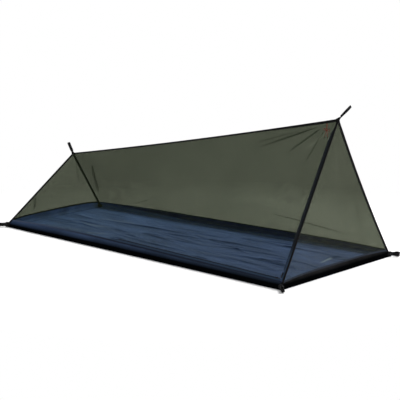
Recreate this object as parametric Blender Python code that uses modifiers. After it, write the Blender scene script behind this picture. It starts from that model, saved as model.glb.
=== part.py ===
# Lightweight one-person net tent: mesh canopy on a bathtub floor, bound seams,
# an L-shaped zipped door, webbing loops at its corners and ridge ends, and a tie cord.
# X runs along the tent towards the tall head end, -Y is the door side, Z is up,
# and the origin is on the ground under the middle of the floor. All sizes are in metres.
import math

import bmesh
import bpy
from mathutils import Matrix, Vector
from mathutils.geometry import intersect_line_line

# Overall sizes
FLOOR_LENGTH = 2.10
HEAD_WIDTH = 0.935
FOOT_WIDTH = 0.763
HEAD_HEIGHT = 0.792
FOOT_HEIGHT = 0.409
HEAD_LEAN = 0.013
FOOT_LEAN = 0.164
RIDGE_SAG = 0.010
HEAD_REAR_HIP_BOW = 0.015

# Bathtub floor
CORNER_RISE = 0.018
WALL_HEIGHT = 0.052
WALL_END_HEIGHT = 0.038
FLOOR_THICKNESS = 0.001
FLOOR_SEAM_ALLOWANCE = 0.0025
FLOOR_FOLD_HEIGHT = 0.005
WALL_THICKNESS = 0.0008

# Net panels
NET_THICKNESS = 0.0008
CREASE_DEPTH = 0.006
CREASE_REACH = 0.30
CREASE_SPACING = math.radians(13)
FRONT_COLUMNS = 30

# Bindings and seam tapes
RIDGE_BINDING_WING = 0.009
HIP_BINDING_WING = 0.008
SEAM_TAPE_WIDTH = 0.010
TAPE_THICKNESS = 0.0016

# Door and its two zips
DOOR_SILL_LENGTH = 1.25
DOOR_TOP_INSET = 0.080
ZIP_TAPE_WIDTH = 0.007
ZIP_TAPE_THICKNESS = 0.0008
ZIP_CHAIN_RADIUS = 0.0011
ZIP_CHAIN_GAP = 0.0012
DOOR_ZIP_START = 0.060
HIP_SLIDER_REST = 0.044
SILL_SLIDER_REST = 0.050
HIP_SLIDER_END = 0.024
SILL_SLIDER_END = 0.040
HIP_ZIP_END = 0.017
SILL_ZIP_END = 0.030
HIP_DOOR_ZIP_END = 0.036
SILL_DOOR_ZIP_END = 0.052

# Zip sliders and their pull tabs
SLIDER_LENGTH = 0.011
SLIDER_PLATE = 0.0010
SLIDER_WALL = 0.0011
SLIDER_WEB = 0.0005
SLIDER_CLEARANCE = 0.0004
BRIDGE_LENGTH = 0.0070
BRIDGE_WIDTH = 0.0018
BRIDGE_HEIGHT = 0.0026
BRIDGE_WALL = 0.0008
PULL_LENGTH = 0.026
PULL_WIDTH = 0.0060
PULL_THICKNESS = 0.0011
PULL_PIN_RADIUS = 0.00045
PULL_HOLE_RADIUS = 0.0015
PULL_ARM_LENGTH = 0.005
STOP_LENGTH = 0.004
STOP_GRIP = 0.0003

# Webbing loops and what they are sewn into
WEBBING_THICKNESS = 0.0013
CORNER_WEBBING_WIDTH = 0.020
CORNER_LOOP_LENGTH = 0.046
CORNER_LOOP_BELLY = 0.0085
CORNER_ANCHOR_HEIGHT = 0.0284
APEX_WEBBING_WIDTH = 0.012
HEAD_LOOP_LENGTH = 0.088
HEAD_LOOP_BELLY = 0.0052
HEAD_LOOP_LEAN = math.radians(46)
FOOT_LOOP_LENGTH = 0.056
FOOT_LOOP_BELLY = 0.0085
FOOT_LOOP_LEAN = math.radians(31)
LOOP_NECK = 0.0014
CORNER_ANCHOR_INNER = (0.014, 0.030, CORNER_ANCHOR_HEIGHT)
CORNER_ANCHOR_OUTER = (0.010, 0.006, CORNER_ANCHOR_HEIGHT)
APEX_ANCHOR_INNER = (0.013, 0.026, 0.022)
APEX_ANCHOR_OUTER = (0.013, 0.013, 0.005)

# Tie cord hanging from the ridge
TIE_FROM_HEAD = 0.073
TIE_DROP = 0.049
TIE_TAB_LENGTH = 0.010
TIE_TAB_WIDTH = 0.007
TIE_TAB_THICKNESS = 0.0006
TIE_KNOT_RADIUS = 0.0045
TIE_CORD_RADIUS = 0.0011
TIE_TIP_RADIUS = 0.0016
TIE_TIP_LENGTH = 0.0085
TIE_KNOT_GAP = 0.0004

# Clearances
CLEARANCE = 0.0003
FOLD_GAP = 0.0005
SEAM_INSET = 0.0055

NET_BLACK = (0.055, 0.060, 0.050, 1.0)
TAPE_BLACK = (0.012, 0.012, 0.013, 1.0)
FLOOR_NAVY = (0.060, 0.110, 0.200, 1.0)
WALL_NAVY = (0.012, 0.018, 0.045, 1.0)
ZIP_BLACK = (0.015, 0.015, 0.016, 1.0)
METAL_DARK = (0.080, 0.080, 0.085, 1.0)
CORD_MAROON = (0.180, 0.030, 0.035, 1.0)

for leftover in list(bpy.data.objects):
    bpy.data.objects.remove(leftover)

parts = bpy.data.collections.new("lightweight_tent")
cutting = bpy.data.collections.new("cutters")
for collection in (parts, cutting):
    bpy.context.scene.collection.children.link(collection)

up = Vector((0, 0, 1))
wall_foot = FLOOR_THICKNESS + CLEARANCE
corner_height = wall_foot + CORNER_ANCHOR_HEIGHT / 2
foot_apex = Vector((-FLOOR_LENGTH / 2 + FOOT_LEAN, 0, FOOT_HEIGHT))
head_apex = Vector((FLOOR_LENGTH / 2 - HEAD_LEAN, 0, HEAD_HEIGHT))


def add_material(obj, colour, roughness, metallic=0.0):
    material = bpy.data.materials.new(obj.name)
    material.use_nodes = True
    shader = material.node_tree.nodes["Principled BSDF"]
    shader.inputs["Base Color"].default_value = colour
    shader.inputs["Roughness"].default_value = roughness
    shader.inputs["Metallic"].default_value = metallic
    material.diffuse_color = colour
    obj.data.materials.append(material)


def add_mesh(name, bm, matrix=Matrix.Identity(4)):
    mesh = bpy.data.meshes.new(name)
    bm.to_mesh(mesh)
    bm.free()
    obj = bpy.data.objects.new(name, mesh)
    obj.matrix_world = matrix
    parts.objects.link(obj)
    return obj


def curve_to_mesh(name, curve, matrix):
    # A filled or bevelled curve has loose caps, so they are welded to make one closed body
    holder = bpy.data.objects.new(name + "_curve", curve)
    parts.objects.link(holder)
    bpy.context.view_layer.update()
    evaluated = holder.evaluated_get(bpy.context.evaluated_depsgraph_get())
    mesh = bpy.data.meshes.new_from_object(evaluated)
    bpy.data.objects.remove(holder)
    mesh.name = name
    bm = bmesh.new()
    bm.from_mesh(mesh)
    bmesh.ops.remove_doubles(bm, verts=bm.verts, dist=0.000001)
    bm.to_mesh(mesh)
    bm.free()
    obj = bpy.data.objects.new(name, mesh)
    obj.matrix_world = matrix
    parts.objects.link(obj)
    return obj


def frame_at(origin, x_axis, y_axis):
    # The frame whose X is x_axis and whose Y is y_axis made square to it
    x = x_axis.normalized()
    z = x.cross(y_axis).normalized()
    y = z.cross(x)
    matrix = Matrix((x, y, z)).transposed().to_4x4()
    matrix.translation = origin
    return matrix


def lerp(a, b, t):
    return a + (b - a) * t


# The tent's lines: corners, ridge, hips and the seam between wall and net

def half_width(x):
    return lerp(FOOT_WIDTH, HEAD_WIDTH, x / FLOOR_LENGTH + 0.5) / 2


def chord(u, side):
    # Where a long wall turns from upright to sloping, side -1 in front and +1 behind
    x = lerp(-FLOOR_LENGTH / 2, FLOOR_LENGTH / 2, u)
    return Vector((x, side * half_width(x), CORNER_RISE))


def ridge(u):
    return lerp(foot_apex, head_apex, u) - up * RIDGE_SAG * 4 * u * (1 - u)


def hip_bow(u, side, v):
    # The rear hip at the head is pulled inwards between its ends
    if side < 0:
        return Vector((0, 0, 0))
    return Vector((0, -HEAD_REAR_HIP_BOW * math.sin(math.pi * v) * u ** 3, 0))


def side_surface(u, side, v):
    return lerp(chord(u, side), ridge(u), v) + hip_bow(u, side, v)


def hip(end, side, v):
    return side_surface((end + 1) / 2, side, v)


def wall_top(s):
    # Height of the seam, s from -1 to 1 along a wall
    return lerp(WALL_END_HEIGHT, WALL_HEIGHT, 1 - s ** 4)


def share_at_height(u, height):
    return (height - CORNER_RISE) / (ridge(u).z - CORNER_RISE)


def long_seam(u, side):
    return side_surface(u, side, share_at_height(u, wall_top(2 * u - 1)))


def end_axes(end):
    apex = head_apex if end > 0 else foot_apex
    middle = Vector((end * FLOOR_LENGTH / 2, 0, CORNER_RISE))
    return middle, apex, frame_at(middle, Vector((0, end, 0)), apex - middle)


def end_half_width(end):
    return half_width(end * FLOOR_LENGTH / 2)


def end_seam_local(end, s):
    middle, apex, frame = end_axes(end)
    y = (wall_top(s) - CORNER_RISE) / frame.col[1].z
    return Vector((s * end_half_width(end) * (1 - y / (apex - middle).length), y, 0))


def end_seam(end, s):
    return end_axes(end)[2] @ end_seam_local(end, s)


# The door's triangle lies in one plane through the front hip at the head end
hip_length = (hip(1, -1, 1) - hip(1, -1, 0)).length
door_corner = hip(1, -1, share_at_height(1, WALL_END_HEIGHT))
door_top = hip(1, -1, 1 - DOOR_TOP_INSET / hip_length)
door_sill_u = 1 - DOOR_SILL_LENGTH / FLOOR_LENGTH
door_heel = side_surface(door_sill_u, -1, share_at_height(door_sill_u, WALL_HEIGHT))
door_frame = frame_at(door_corner, door_corner - door_heel, door_top - door_corner)
door_inverse = door_frame.inverted()
door_outward = door_frame.col[2].to_3d()
top_local = door_inverse @ door_top
heel_local = door_inverse @ door_heel
hip_run = top_local.length
sill_run = heel_local.length
hip_along = top_local.normalized()
hip_inward = Vector((-hip_along.y, hip_along.x, 0))
fold_along = (top_local - heel_local).normalized()
fold_inward = Vector((fold_along.y, -fold_along.x, 0))

CHAIN_OFFSET = ZIP_TAPE_WIDTH + 2 * ZIP_CHAIN_RADIUS + ZIP_CHAIN_GAP / 2
hip_zip_offset = HIP_BINDING_WING + CLEARANCE + CHAIN_OFFSET
sill_zip_offset = SEAM_TAPE_WIDTH / 2 + CLEARANCE + CHAIN_OFFSET

# The slider runs round both chains, and its slots pass the zip tape
lanes_width = ZIP_CHAIN_GAP + 4 * ZIP_CHAIN_RADIUS + 2 * SLIDER_CLEARANCE
lane_height = 2 * ZIP_CHAIN_RADIUS + 2 * SLIDER_CLEARANCE
slot_height = ZIP_TAPE_THICKNESS + 2 * SLIDER_CLEARANCE
slider_width = lanes_width + 2 * SLIDER_WALL


def front_seam(u):
    # A curve from the foot to the door's heel, then straight along the sill
    if u >= door_sill_u:
        return lerp(door_heel, door_corner, (u - door_sill_u) / (1 - door_sill_u))
    height = lerp(WALL_END_HEIGHT, WALL_HEIGHT, 1 - (1 - u / door_sill_u) ** 4)
    return side_surface(u, -1, share_at_height(u, height))


def front_panel_foot(u):
    # The fixed net panel starts at the seam, and past the heel at the door's fold
    if u <= door_sill_u:
        return front_seam(u)
    along = lerp(heel_local, top_local, (u - door_sill_u) / (1 - door_sill_u))
    return door_frame @ (along - fold_inward * FOLD_GAP)


def side_outward(u, side, v):
    step = 0.01
    along = side_surface(u + step, side, v) - side_surface(u - step, side, v)
    upward = side_surface(u, side, v + step) - side_surface(u, side, v - step)
    return along.cross(upward).normalized() * -side


def seam_outward(side):
    return lambda u: side_outward(u, side, share_at_height(u, WALL_HEIGHT))


def inset(path, length):
    # The path without its first and last few millimetres
    share = SEAM_INSET / length
    return lambda t: path(lerp(share, 1 - share, t))


# Builders

def sheet(name, columns, rows, place, thickness):
    bm = bmesh.new()
    bmesh.ops.create_grid(bm, x_segments=columns, y_segments=rows, size=0.5)
    for vertex in bm.verts:
        vertex.co = place(vertex.co.x + 0.5, vertex.co.y + 0.5)
    obj = add_mesh(name, bm)
    solid = obj.modifiers.new("thickness", "SOLIDIFY")
    solid.thickness = thickness
    solid.offset = 0
    solid.use_even_offset = True
    return obj


def ribbon(name, path, normal, width, thickness, segments, grow=0.0):
    # A flat tape along a path, square to the normal that is given along it
    def place(t, s):
        step = 0.5 / segments
        tangent = (path(min(t + step, 1)) - path(max(t - step, 0))).normalized()
        across = normal(t).cross(tangent).normalized()
        ends = tangent * grow * ((t > 1 - step) - (t < step))
        return path(t) + ends + across * (s - 0.5) * (width + 2 * grow)

    return sheet(name, segments, 1, place, thickness + 2 * grow)


def folded_ribbon(name, path, sides, wing, thickness, segments, grow=0.0):
    # A tape folded along a path, with one wing lying on the panel at each side of it
    def place(t, s):
        step = 0.5 / segments
        tangent = (path(min(t + step, 1)) - path(max(t - step, 0))).normalized()
        side = sides(t)[0 if s < 0.5 else 1]
        across = (side - tangent * side.dot(tangent)).normalized()
        ends = tangent * grow * ((t > 1 - step) - (t < step))
        return path(t) + ends + across * abs(2 * s - 1) * (wing + grow)

    return sheet(name, segments, 2, place, thickness + 2 * grow)


def plate(name, outlines, thickness, matrix):
    curve = bpy.data.curves.new(name, "CURVE")
    curve.dimensions = "2D"
    curve.fill_mode = "BOTH"
    curve.extrude = thickness / 2
    for outline in outlines:
        spline = curve.splines.new("POLY")
        spline.points.add(len(outline) - 1)
        for point, place in zip(spline.points, outline):
            point.co = (place[0], place[1], 0, 1)
        spline.use_cyclic_u = True
    return curve_to_mesh(name, curve, matrix)


def block(name, size, matrix, offset=(0, 0, 0)):
    bm = bmesh.new()
    bmesh.ops.create_cube(bm, size=1)
    bmesh.ops.scale(bm, vec=size, verts=bm.verts)
    bmesh.ops.translate(bm, vec=offset, verts=bm.verts)
    return add_mesh(name, bm, matrix)


def cylinder(name, radius, depth, matrix, segments=16):
    bm = bmesh.new()
    bmesh.ops.create_cone(
        bm, cap_ends=True, segments=segments, radius1=radius, radius2=radius, depth=depth
    )
    return add_mesh(name, bm, matrix)


def tapered_block(name, inner, outer, matrix, grow=0.0):
    # inner and outer are the reach along -X or +X, the width along Y and the height along Z
    bm = bmesh.new()
    bmesh.ops.create_cube(bm, size=2)
    for vertex in bm.verts:
        reach, width, height = outer if vertex.co.x > 0 else inner
        vertex.co.x *= reach + grow
        vertex.co.y *= width / 2 + grow
        vertex.co.z *= height / 2 + grow
    return add_mesh(name, bm, matrix)


def soften(obj, width, segments=2):
    bevel = obj.modifiers.new("edges", "BEVEL")
    bevel.width = width
    bevel.segments = segments
    bevel.limit_method = "ANGLE"


def as_cutter(obj):
    parts.objects.unlink(obj)
    cutting.objects.link(obj)
    obj.hide_render = True
    obj.display_type = "WIRE"
    return obj


def combine(obj, tools, operation="DIFFERENCE"):
    for tool in tools:
        boolean = obj.modifiers.new("by_" + tool.name[:40], "BOOLEAN")
        boolean.operation = operation
        boolean.object = tool
        boolean.solver = "EXACT"


def tube(name, points, radius, resolution=2, matrix=Matrix.Identity(4)):
    curve = bpy.data.curves.new(name, "CURVE")
    curve.dimensions = "3D"
    curve.bevel_depth = radius
    curve.bevel_resolution = resolution
    curve.use_fill_caps = True
    spline = curve.splines.new("POLY")
    spline.points.add(len(points) - 1)
    for point, place in zip(spline.points, points):
        point.co = (*place, 1)
    return curve_to_mesh(name, curve, matrix)


def smooth_route(route, spacing):
    # Points read at an even spacing from a smooth curve through the route's own points
    ends = [2 * route[0] - route[1]] + list(route) + [2 * route[-1] - route[-2]]
    dense = []
    for before, start, stop, after in zip(ends, ends[1:], ends[2:], ends[3:]):
        for step in range(24):
            t = step / 24
            dense.append(
                0.5
                * (
                    2 * start
                    + (stop - before) * t
                    + (2 * before - 5 * start + 4 * stop - after) * t * t
                    + (3 * start - before - 3 * stop + after) * t * t * t
                )
            )
    dense.append(route[-1])
    total = sum((b - a).length for a, b in zip(dense, dense[1:]))
    count = max(4, round(total / spacing))
    wanted = [total * i / count for i in range(count + 1)]
    points = []
    run = 0.0
    for a, b in zip(dense, dense[1:]):
        length = (b - a).length
        while len(points) < count and wanted[len(points)] <= run + length:
            points.append(lerp(a, b, (wanted[len(points)] - run) / length))
        run += length
    points.append(dense[-1])
    return points, total


def bend_radius(a, b, c):
    # Of the circle through three points
    height = (b - a).cross(c - a).length
    if height < 1e-12:
        return 1.0
    return (b - a).length * (c - b).length * (c - a).length / (2 * height)


# Bindings over the ridge and hips, each with a cutter that leaves the clearance round it

def ridge_sides(t):
    return [side_surface(t, side, 0.98) - ridge(t) for side in (-1, 1)]


def hip_sides(end, side):
    inward = Vector((0, -side, 0))
    if (end, side) == (1, -1):
        return lambda t: (door_frame.to_3x3() @ hip_inward, inward)
    start = (end + 1) / 2
    return lambda t: (side_surface(start - end * 0.02, side, t) - hip(end, side, t), inward)


def end_normal(end):
    outward = end_axes(end)[2].col[2].to_3d()
    return lambda t: outward


folded_plans = {
    "ridge_binding": (ridge, ridge_sides, RIDGE_BINDING_WING, 16),
    "hip_binding_front_head": (
        lambda t: hip(1, -1, t), hip_sides(1, -1), HIP_BINDING_WING, 4,
    ),
    "hip_binding_rear_head": (
        lambda t: hip(1, 1, t), hip_sides(1, 1), HIP_BINDING_WING, 12,
    ),
    "hip_binding_front_foot": (
        lambda t: hip(-1, -1, t), hip_sides(-1, -1), HIP_BINDING_WING, 4,
    ),
    "hip_binding_rear_foot": (
        lambda t: hip(-1, 1, t), hip_sides(-1, 1), HIP_BINDING_WING, 4,
    ),
}
flat_plans = {
    "seam_tape_front": (inset(front_seam, FLOOR_LENGTH), seam_outward(-1), 20),
    "seam_tape_rear": (
        inset(lambda t: long_seam(t, 1), FLOOR_LENGTH), seam_outward(1), 20,
    ),
    "seam_tape_head": (
        inset(lambda t: end_seam(1, 2 * t - 1), HEAD_WIDTH), end_normal(1), 16,
    ),
    "seam_tape_foot": (
        inset(lambda t: end_seam(-1, 2 * t - 1), FOOT_WIDTH), end_normal(-1), 16,
    ),
}

tapes = {}
room = {}
for name, (path, sides, wing, segments) in folded_plans.items():
    tapes[name] = folded_ribbon(name, path, sides, wing, TAPE_THICKNESS, segments)
    room[name] = as_cutter(
        folded_ribbon(name + "_room", path, sides, wing, TAPE_THICKNESS, segments, CLEARANCE)
    )
for name, (path, normal, segments) in flat_plans.items():
    width = SEAM_TAPE_WIDTH
    tapes[name] = ribbon(name, path, normal, width, TAPE_THICKNESS, segments)
    room[name] = as_cutter(
        ribbon(name + "_room", path, normal, width, TAPE_THICKNESS, segments, CLEARANCE)
    )
for tape in tapes.values():
    add_material(tape, TAPE_BLACK, 0.8)

# Bar-tacked webbing anchors, where the bindings meet, and the loops sewn into them

def loop_outline(length, belly, count=28):
    # Round a strap loop from its narrow neck at 0 to its rounded tip at length
    outline = []
    for i in range(count):
        turn = (i + 0.5) * 2 * math.pi / count
        round_from = turn if turn < math.pi else 2 * math.pi - turn
        power = 0.35 + 0.50 * round_from / math.pi
        cosine = math.cos(turn)
        x = length / 2 * (1 - math.copysign(abs(cosine) ** power, cosine))
        swell = math.sin(math.pi / 2 * min(1, x / (0.7 * length))) ** 2
        width = LOOP_NECK + belly * swell
        y = math.copysign(abs(math.sin(turn)) ** power, math.sin(turn)) * width
        outline.append((x, y))
    return outline


def webbing_loop(name, length, belly, width, matrix):
    curve = bpy.data.curves.new(name, "CURVE")
    curve.dimensions = "2D"
    curve.fill_mode = "NONE"
    curve.extrude = width / 2
    spline = curve.splines.new("POLY")
    outline = loop_outline(length, belly)
    spline.points.add(len(outline) - 1)
    for point, place in zip(spline.points, outline):
        point.co = (place[0], place[1], 0, 1)
    spline.use_cyclic_u = True
    obj = curve_to_mesh(name, curve, matrix)
    ply = obj.modifiers.new("ply", "SOLIDIFY")
    ply.thickness = WEBBING_THICKNESS
    ply.offset = 0
    ply.use_even_offset = True
    add_material(obj, TAPE_BLACK, 0.75)
    return obj


def anchor_and_loop(place, centre, outward, width_axis, inner, outer, length, belly, upright):
    # The anchor's X points outwards, and the strap stands upright or lies across it
    box = frame_at(centre, outward, width_axis)
    anchor = tapered_block(place + "_anchor", inner, outer, box)
    soften(anchor, 0.0015)
    add_material(anchor, TAPE_BLACK, 0.8)
    room[place] = as_cutter(tapered_block(place + "_room", inner, outer, box, CLEARANCE))
    root = box.to_3x3() @ Vector((outer[0] + CLEARANCE + WEBBING_THICKNESS / 2, 0, 0))
    strap_side = box.col[1].to_3d() if upright else -box.col[2].to_3d()
    webbing = CORNER_WEBBING_WIDTH if upright else APEX_WEBBING_WIDTH
    strap = frame_at(centre + root, box.col[0].to_3d(), strap_side)
    webbing_loop(place + "_loop", length, belly, webbing, strap)
    tip = strap @ Vector((length - WEBBING_THICKNESS / 2, 0, 0))
    hinge = strap @ Vector((LOOP_NECK, 0, 0))
    axis = strap.col[2]
    print(place, "hinge", [round(c, 5) for c in hinge], "axis", [round(c, 4) for c in axis[:3]])
    print(place, "tip face", [round(c, 5) for c in tip], [round(-c, 4) for c in strap.col[0][:3]])
    middle = strap @ Vector((length * 0.70, 0, 0))
    print(place, "eye", [round(c, 5) for c in middle])


for end, end_name in ((1, "head"), (-1, "foot")):
    for side, side_name in ((-1, "front"), (1, "rear")):
        corner = hip(end, side, 0)
        corner.z = corner_height
        outward = Vector((end, side, 0))
        anchor_and_loop(
            f"{side_name}_{end_name}_corner", corner, outward, up.cross(outward),
            CORNER_ANCHOR_INNER, CORNER_ANCHOR_OUTER,
            CORNER_LOOP_LENGTH, CORNER_LOOP_BELLY, True,
        )
for end, end_name, apex, lean, length, belly in (
    (1, "head", head_apex, HEAD_LOOP_LEAN, HEAD_LOOP_LENGTH, HEAD_LOOP_BELLY),
    (-1, "foot", foot_apex, FOOT_LOOP_LEAN, FOOT_LOOP_LENGTH, FOOT_LOOP_BELLY),
):
    outward = Vector((end * math.sin(lean), 0, math.cos(lean)))
    anchor_and_loop(
        f"{end_name}_apex", apex, outward, Vector((0, 1, 0)),
        APEX_ANCHOR_INNER, APEX_ANCHOR_OUTER, length, belly, False,
    )

corner_rooms = {
    (end, side): room[f"{side_name}_{end_name}_corner"]
    for end, end_name in ((1, "head"), (-1, "foot"))
    for side, side_name in ((-1, "front"), (1, "rear"))
}
hip_names = {
    (1, -1): "hip_binding_front_head",
    (1, 1): "hip_binding_rear_head",
    (-1, -1): "hip_binding_front_foot",
    (-1, 1): "hip_binding_rear_foot",
}
apex_rooms = {1: room["head_apex"], -1: room["foot_apex"]}

combine(tapes["ridge_binding"], apex_rooms.values())
for (end, side), name in hip_names.items():
    others = [room["ridge_binding"], apex_rooms[end], corner_rooms[end, side]]
    if side > 0:
        others.append(room[hip_names[end, -1]])
    combine(tapes[name], others)
for name, ends in (
    ("seam_tape_front", [(-1, -1), (1, -1)]),
    ("seam_tape_rear", [(-1, 1), (1, 1)]),
    ("seam_tape_head", [(1, -1), (1, 1)]),
    ("seam_tape_foot", [(-1, -1), (-1, 1)]),
):
    others = [room[hip_names[key]] for key in ends] + [corner_rooms[key] for key in ends]
    combine(tapes[name], others)

# Bathtub floor: a wrinkled sheet that is flat underneath, and its four low walls

def floor_fold(x, y):
    # Long shallow wrinkles that die out towards the walls
    edge = min(FLOOR_LENGTH / 2 - abs(x), half_width(x) - abs(y))
    fade = max(0.0, min(1.0, (edge - 0.03) / 0.10))
    long_wave = math.sin(2 * math.pi * (y / 0.17 + 0.35 * math.sin(2.1 * x)))
    cross_wave = math.sin(2 * math.pi * (0.62 * x + 0.9 * y) + 1.0)
    return FLOOR_FOLD_HEIGHT * fade * max(0.0, long_wave) ** 2 * (0.55 + 0.45 * cross_wave)


def floor_panel():
    bm = bmesh.new()
    bmesh.ops.create_grid(bm, x_segments=26, y_segments=18, size=0.5)
    for vertex in bm.verts:
        x = vertex.co.x * (FLOOR_LENGTH + 2 * FLOOR_SEAM_ALLOWANCE)
        y = vertex.co.y * 2 * (half_width(x) + FLOOR_SEAM_ALLOWANCE)
        vertex.co = (x, y, FLOOR_THICKNESS + floor_fold(x, y))
    lower = bmesh.ops.extrude_face_region(bm, geom=bm.faces[:])
    for item in lower["geom"]:
        if isinstance(item, bmesh.types.BMVert):
            item.co.z = 0
    bmesh.ops.recalc_face_normals(bm, faces=bm.faces[:])
    obj = add_mesh("floor_panel", bm)
    add_material(obj, FLOOR_NAVY, 0.45)


floor_panel()


def wall_profile(chord_point, seam_point, v):
    # Upright from the ground to the chord, then sloping to the seam
    if v <= 0.5:
        ground = chord_point.copy()
        ground.z = wall_foot
        return lerp(ground, chord_point, v / 0.5)
    return lerp(chord_point, seam_point, (v - 0.5) / 0.5)


def end_chord(end, s):
    return Vector((end * FLOOR_LENGTH / 2, s * end * end_half_width(end), CORNER_RISE))


walls = {
    "front_wall": (
        lambda u, v: wall_profile(chord(u, -1), front_seam(u), v),
        "seam_tape_front", [(-1, -1), (1, -1)], 20,
    ),
    "rear_wall": (
        lambda u, v: wall_profile(chord(u, 1), long_seam(u, 1), v),
        "seam_tape_rear", [(-1, 1), (1, 1)], 20,
    ),
    "head_wall": (
        lambda u, v: wall_profile(end_chord(1, 2 * u - 1), end_seam(1, 2 * u - 1), v),
        "seam_tape_head", [(1, -1), (1, 1)], 14,
    ),
    "foot_wall": (
        lambda u, v: wall_profile(end_chord(-1, 2 * u - 1), end_seam(-1, 2 * u - 1), v),
        "seam_tape_foot", [(-1, -1), (-1, 1)], 14,
    ),
}
for name, (place, tape, ends, columns) in walls.items():
    share = SEAM_INSET / HEAD_WIDTH

    def inset_place(u, v, place=place, share=share):
        return place(lerp(share, 1 - share, u), v)

    wall = sheet(name, columns, 2, inset_place, WALL_THICKNESS)
    others = [room[hip_names[key]] for key in ends] + [corner_rooms[key] for key in ends]
    combine(wall, [room[tape]] + others)
    add_material(wall, WALL_NAVY, 0.5)

# Net panels: saddle-shaped front and rear, flat head and foot ends

def crease(point):
    # Pull lines that fan out from the head apex over the long panels
    arm = point - head_apex
    reach = arm.length
    if reach < 0.001:
        return 0.0
    ridge_line = (foot_apex - head_apex).normalized()
    angle = math.acos(max(-1.0, min(1.0, arm.normalized().dot(ridge_line))))
    swell = reach / CREASE_REACH * math.exp(1 - reach / CREASE_REACH)
    return CREASE_DEPTH * swell * math.sin(2 * math.pi * angle / CREASE_SPACING)


def even_spread(sides):
    # 0 at the edges of a panel, 1 a little way in from them
    return max(0.0, min(1.0, min(sides) / 0.12))


def rear_panel_place(u, v):
    u = 1 - (1 - u) ** 1.35
    start = share_at_height(u, wall_top(2 * u - 1))
    point = side_surface(u, 1, lerp(start, 1, v))
    fade = even_spread((u, 1 - u, v, 1 - v))
    return point + side_outward(u, 1, lerp(start, 1, v)) * crease(point) * fade


def front_panel_place(u, v):
    # The tenth column stands on the door's heel
    knee = 10 / FRONT_COLUMNS
    if u < knee:
        u = u / knee * door_sill_u
    else:
        u = lerp(door_sill_u, 1, 1 - (1 - (u - knee) / (1 - knee)) ** 1.2)
    point = lerp(front_panel_foot(u), ridge(u), v)
    fade = even_spread((u, 1 - u, v, 1 - v))
    return point + side_outward(u, -1, v) * crease(point) * fade


rear_panel = sheet("rear_panel", 32, 18, rear_panel_place, NET_THICKNESS)
combine(
    rear_panel,
    [
        room["seam_tape_rear"], room["hip_binding_rear_head"], room["hip_binding_rear_foot"],
        room["ridge_binding"], *apex_rooms.values(), corner_rooms[1, 1], corner_rooms[-1, 1],
    ],
)
front_panel = sheet("front_panel", FRONT_COLUMNS, 12, front_panel_place, NET_THICKNESS)
combine(
    front_panel,
    [
        room["seam_tape_front"], room["hip_binding_front_head"], room["hip_binding_front_foot"],
        room["ridge_binding"], *apex_rooms.values(), corner_rooms[-1, -1],
    ],
)


def end_panel(name, end):
    middle, apex, frame = end_axes(end)
    height = (apex - middle).length
    steps = 14
    outline = [end_seam_local(end, 2 * i / steps - 1) for i in range(steps + 1)]
    low = outline[-1].y / height
    rises = [lerp(low, 1, i / 8) for i in range(1, 8)]
    half = end_half_width(end)
    right = [Vector((half * (1 - v), v * height, 0)) for v in rises]
    left = [Vector((-half * (1 - v), v * height, 0)) for v in reversed(rises)]
    if end > 0:
        for v, point in zip(rises, right):
            point.x += hip_bow(1, 1, v).y
    outline += right + [Vector((0, height, 0))] + left
    obj = plate(name, [outline], NET_THICKNESS, frame)
    bindings = [room[hip_names[end, -1]], room[hip_names[end, 1]]]
    seam = room["seam_tape_head" if end > 0 else "seam_tape_foot"]
    combine(obj, [seam, *bindings, room["ridge_binding"], apex_rooms[end]])
    return obj


head_panel = end_panel("head_panel", 1)
foot_panel = end_panel("foot_panel", -1)


# The door, in its own plane: X towards the head end along the sill, Y up the slope

def crossing(a, a_along, b, b_along):
    hit = intersect_line_line(a, a + a_along, b, b + b_along)
    return hit[0]


sill_along = Vector((-1, 0, 0))
sill_inward = Vector((0, 1, 0))
near = slider_width / 2 + 2 * CLEARANCE
far = ZIP_CHAIN_GAP / 2 + 2 * ZIP_CHAIN_RADIUS + ZIP_TAPE_WIDTH + CLEARANCE
step_at = DOOR_ZIP_START - CLEARANCE


def on_hip(run, offset):
    return hip_along * run + hip_inward * offset


def on_sill(run, offset):
    return sill_along * run + sill_inward * offset


fold_start = heel_local + fold_inward * FOLD_GAP
door_outline = [
    crossing(
        on_hip(0, hip_zip_offset + near), hip_along, on_sill(0, sill_zip_offset + near), sill_along
    ),
    on_sill(step_at, sill_zip_offset + near),
    on_sill(step_at, sill_zip_offset + far),
    crossing(on_sill(0, sill_zip_offset + far), sill_along, fold_start, fold_along),
    crossing(on_hip(0, hip_zip_offset + far), hip_along, fold_start, fold_along),
    on_hip(step_at, hip_zip_offset + far),
    on_hip(step_at, hip_zip_offset + near),
]
door_panel = plate("door_panel", [door_outline], NET_THICKNESS, door_frame)

for net in (rear_panel, front_panel, head_panel, foot_panel, door_panel):
    add_material(net, NET_BLACK, 0.9)


def zip_half(name, start, stop, offset, along, inward, towards_door):
    # A strip of tape with the chain along one edge, drawn as a section and run along the zip
    length = stop - start
    turn = 1 if towards_door else -1
    inner = ZIP_CHAIN_GAP / 2 + ZIP_CHAIN_RADIUS
    half = ZIP_TAPE_THICKNESS / 2
    join = math.asin(half / ZIP_CHAIN_RADIUS)
    steps = 8
    bead = []
    for i in range(steps + 1):
        angle = lerp(join, 2 * math.pi - join, i / steps)
        bead.append((
            turn * (inner + ZIP_CHAIN_RADIUS * math.cos(angle)),
            ZIP_CHAIN_RADIUS * math.sin(angle),
        ))
    edge = turn * (CHAIN_OFFSET - 0.00001)
    section = bead + [(edge, -half), (edge, half)]
    middle = along * (start + length / 2) + inward * offset
    box = frame_at(door_frame @ middle, door_frame.to_3x3() @ inward, door_outward)
    obj = plate(name, [section], length, box)
    add_material(obj, ZIP_BLACK, 0.6)
    return obj


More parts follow.
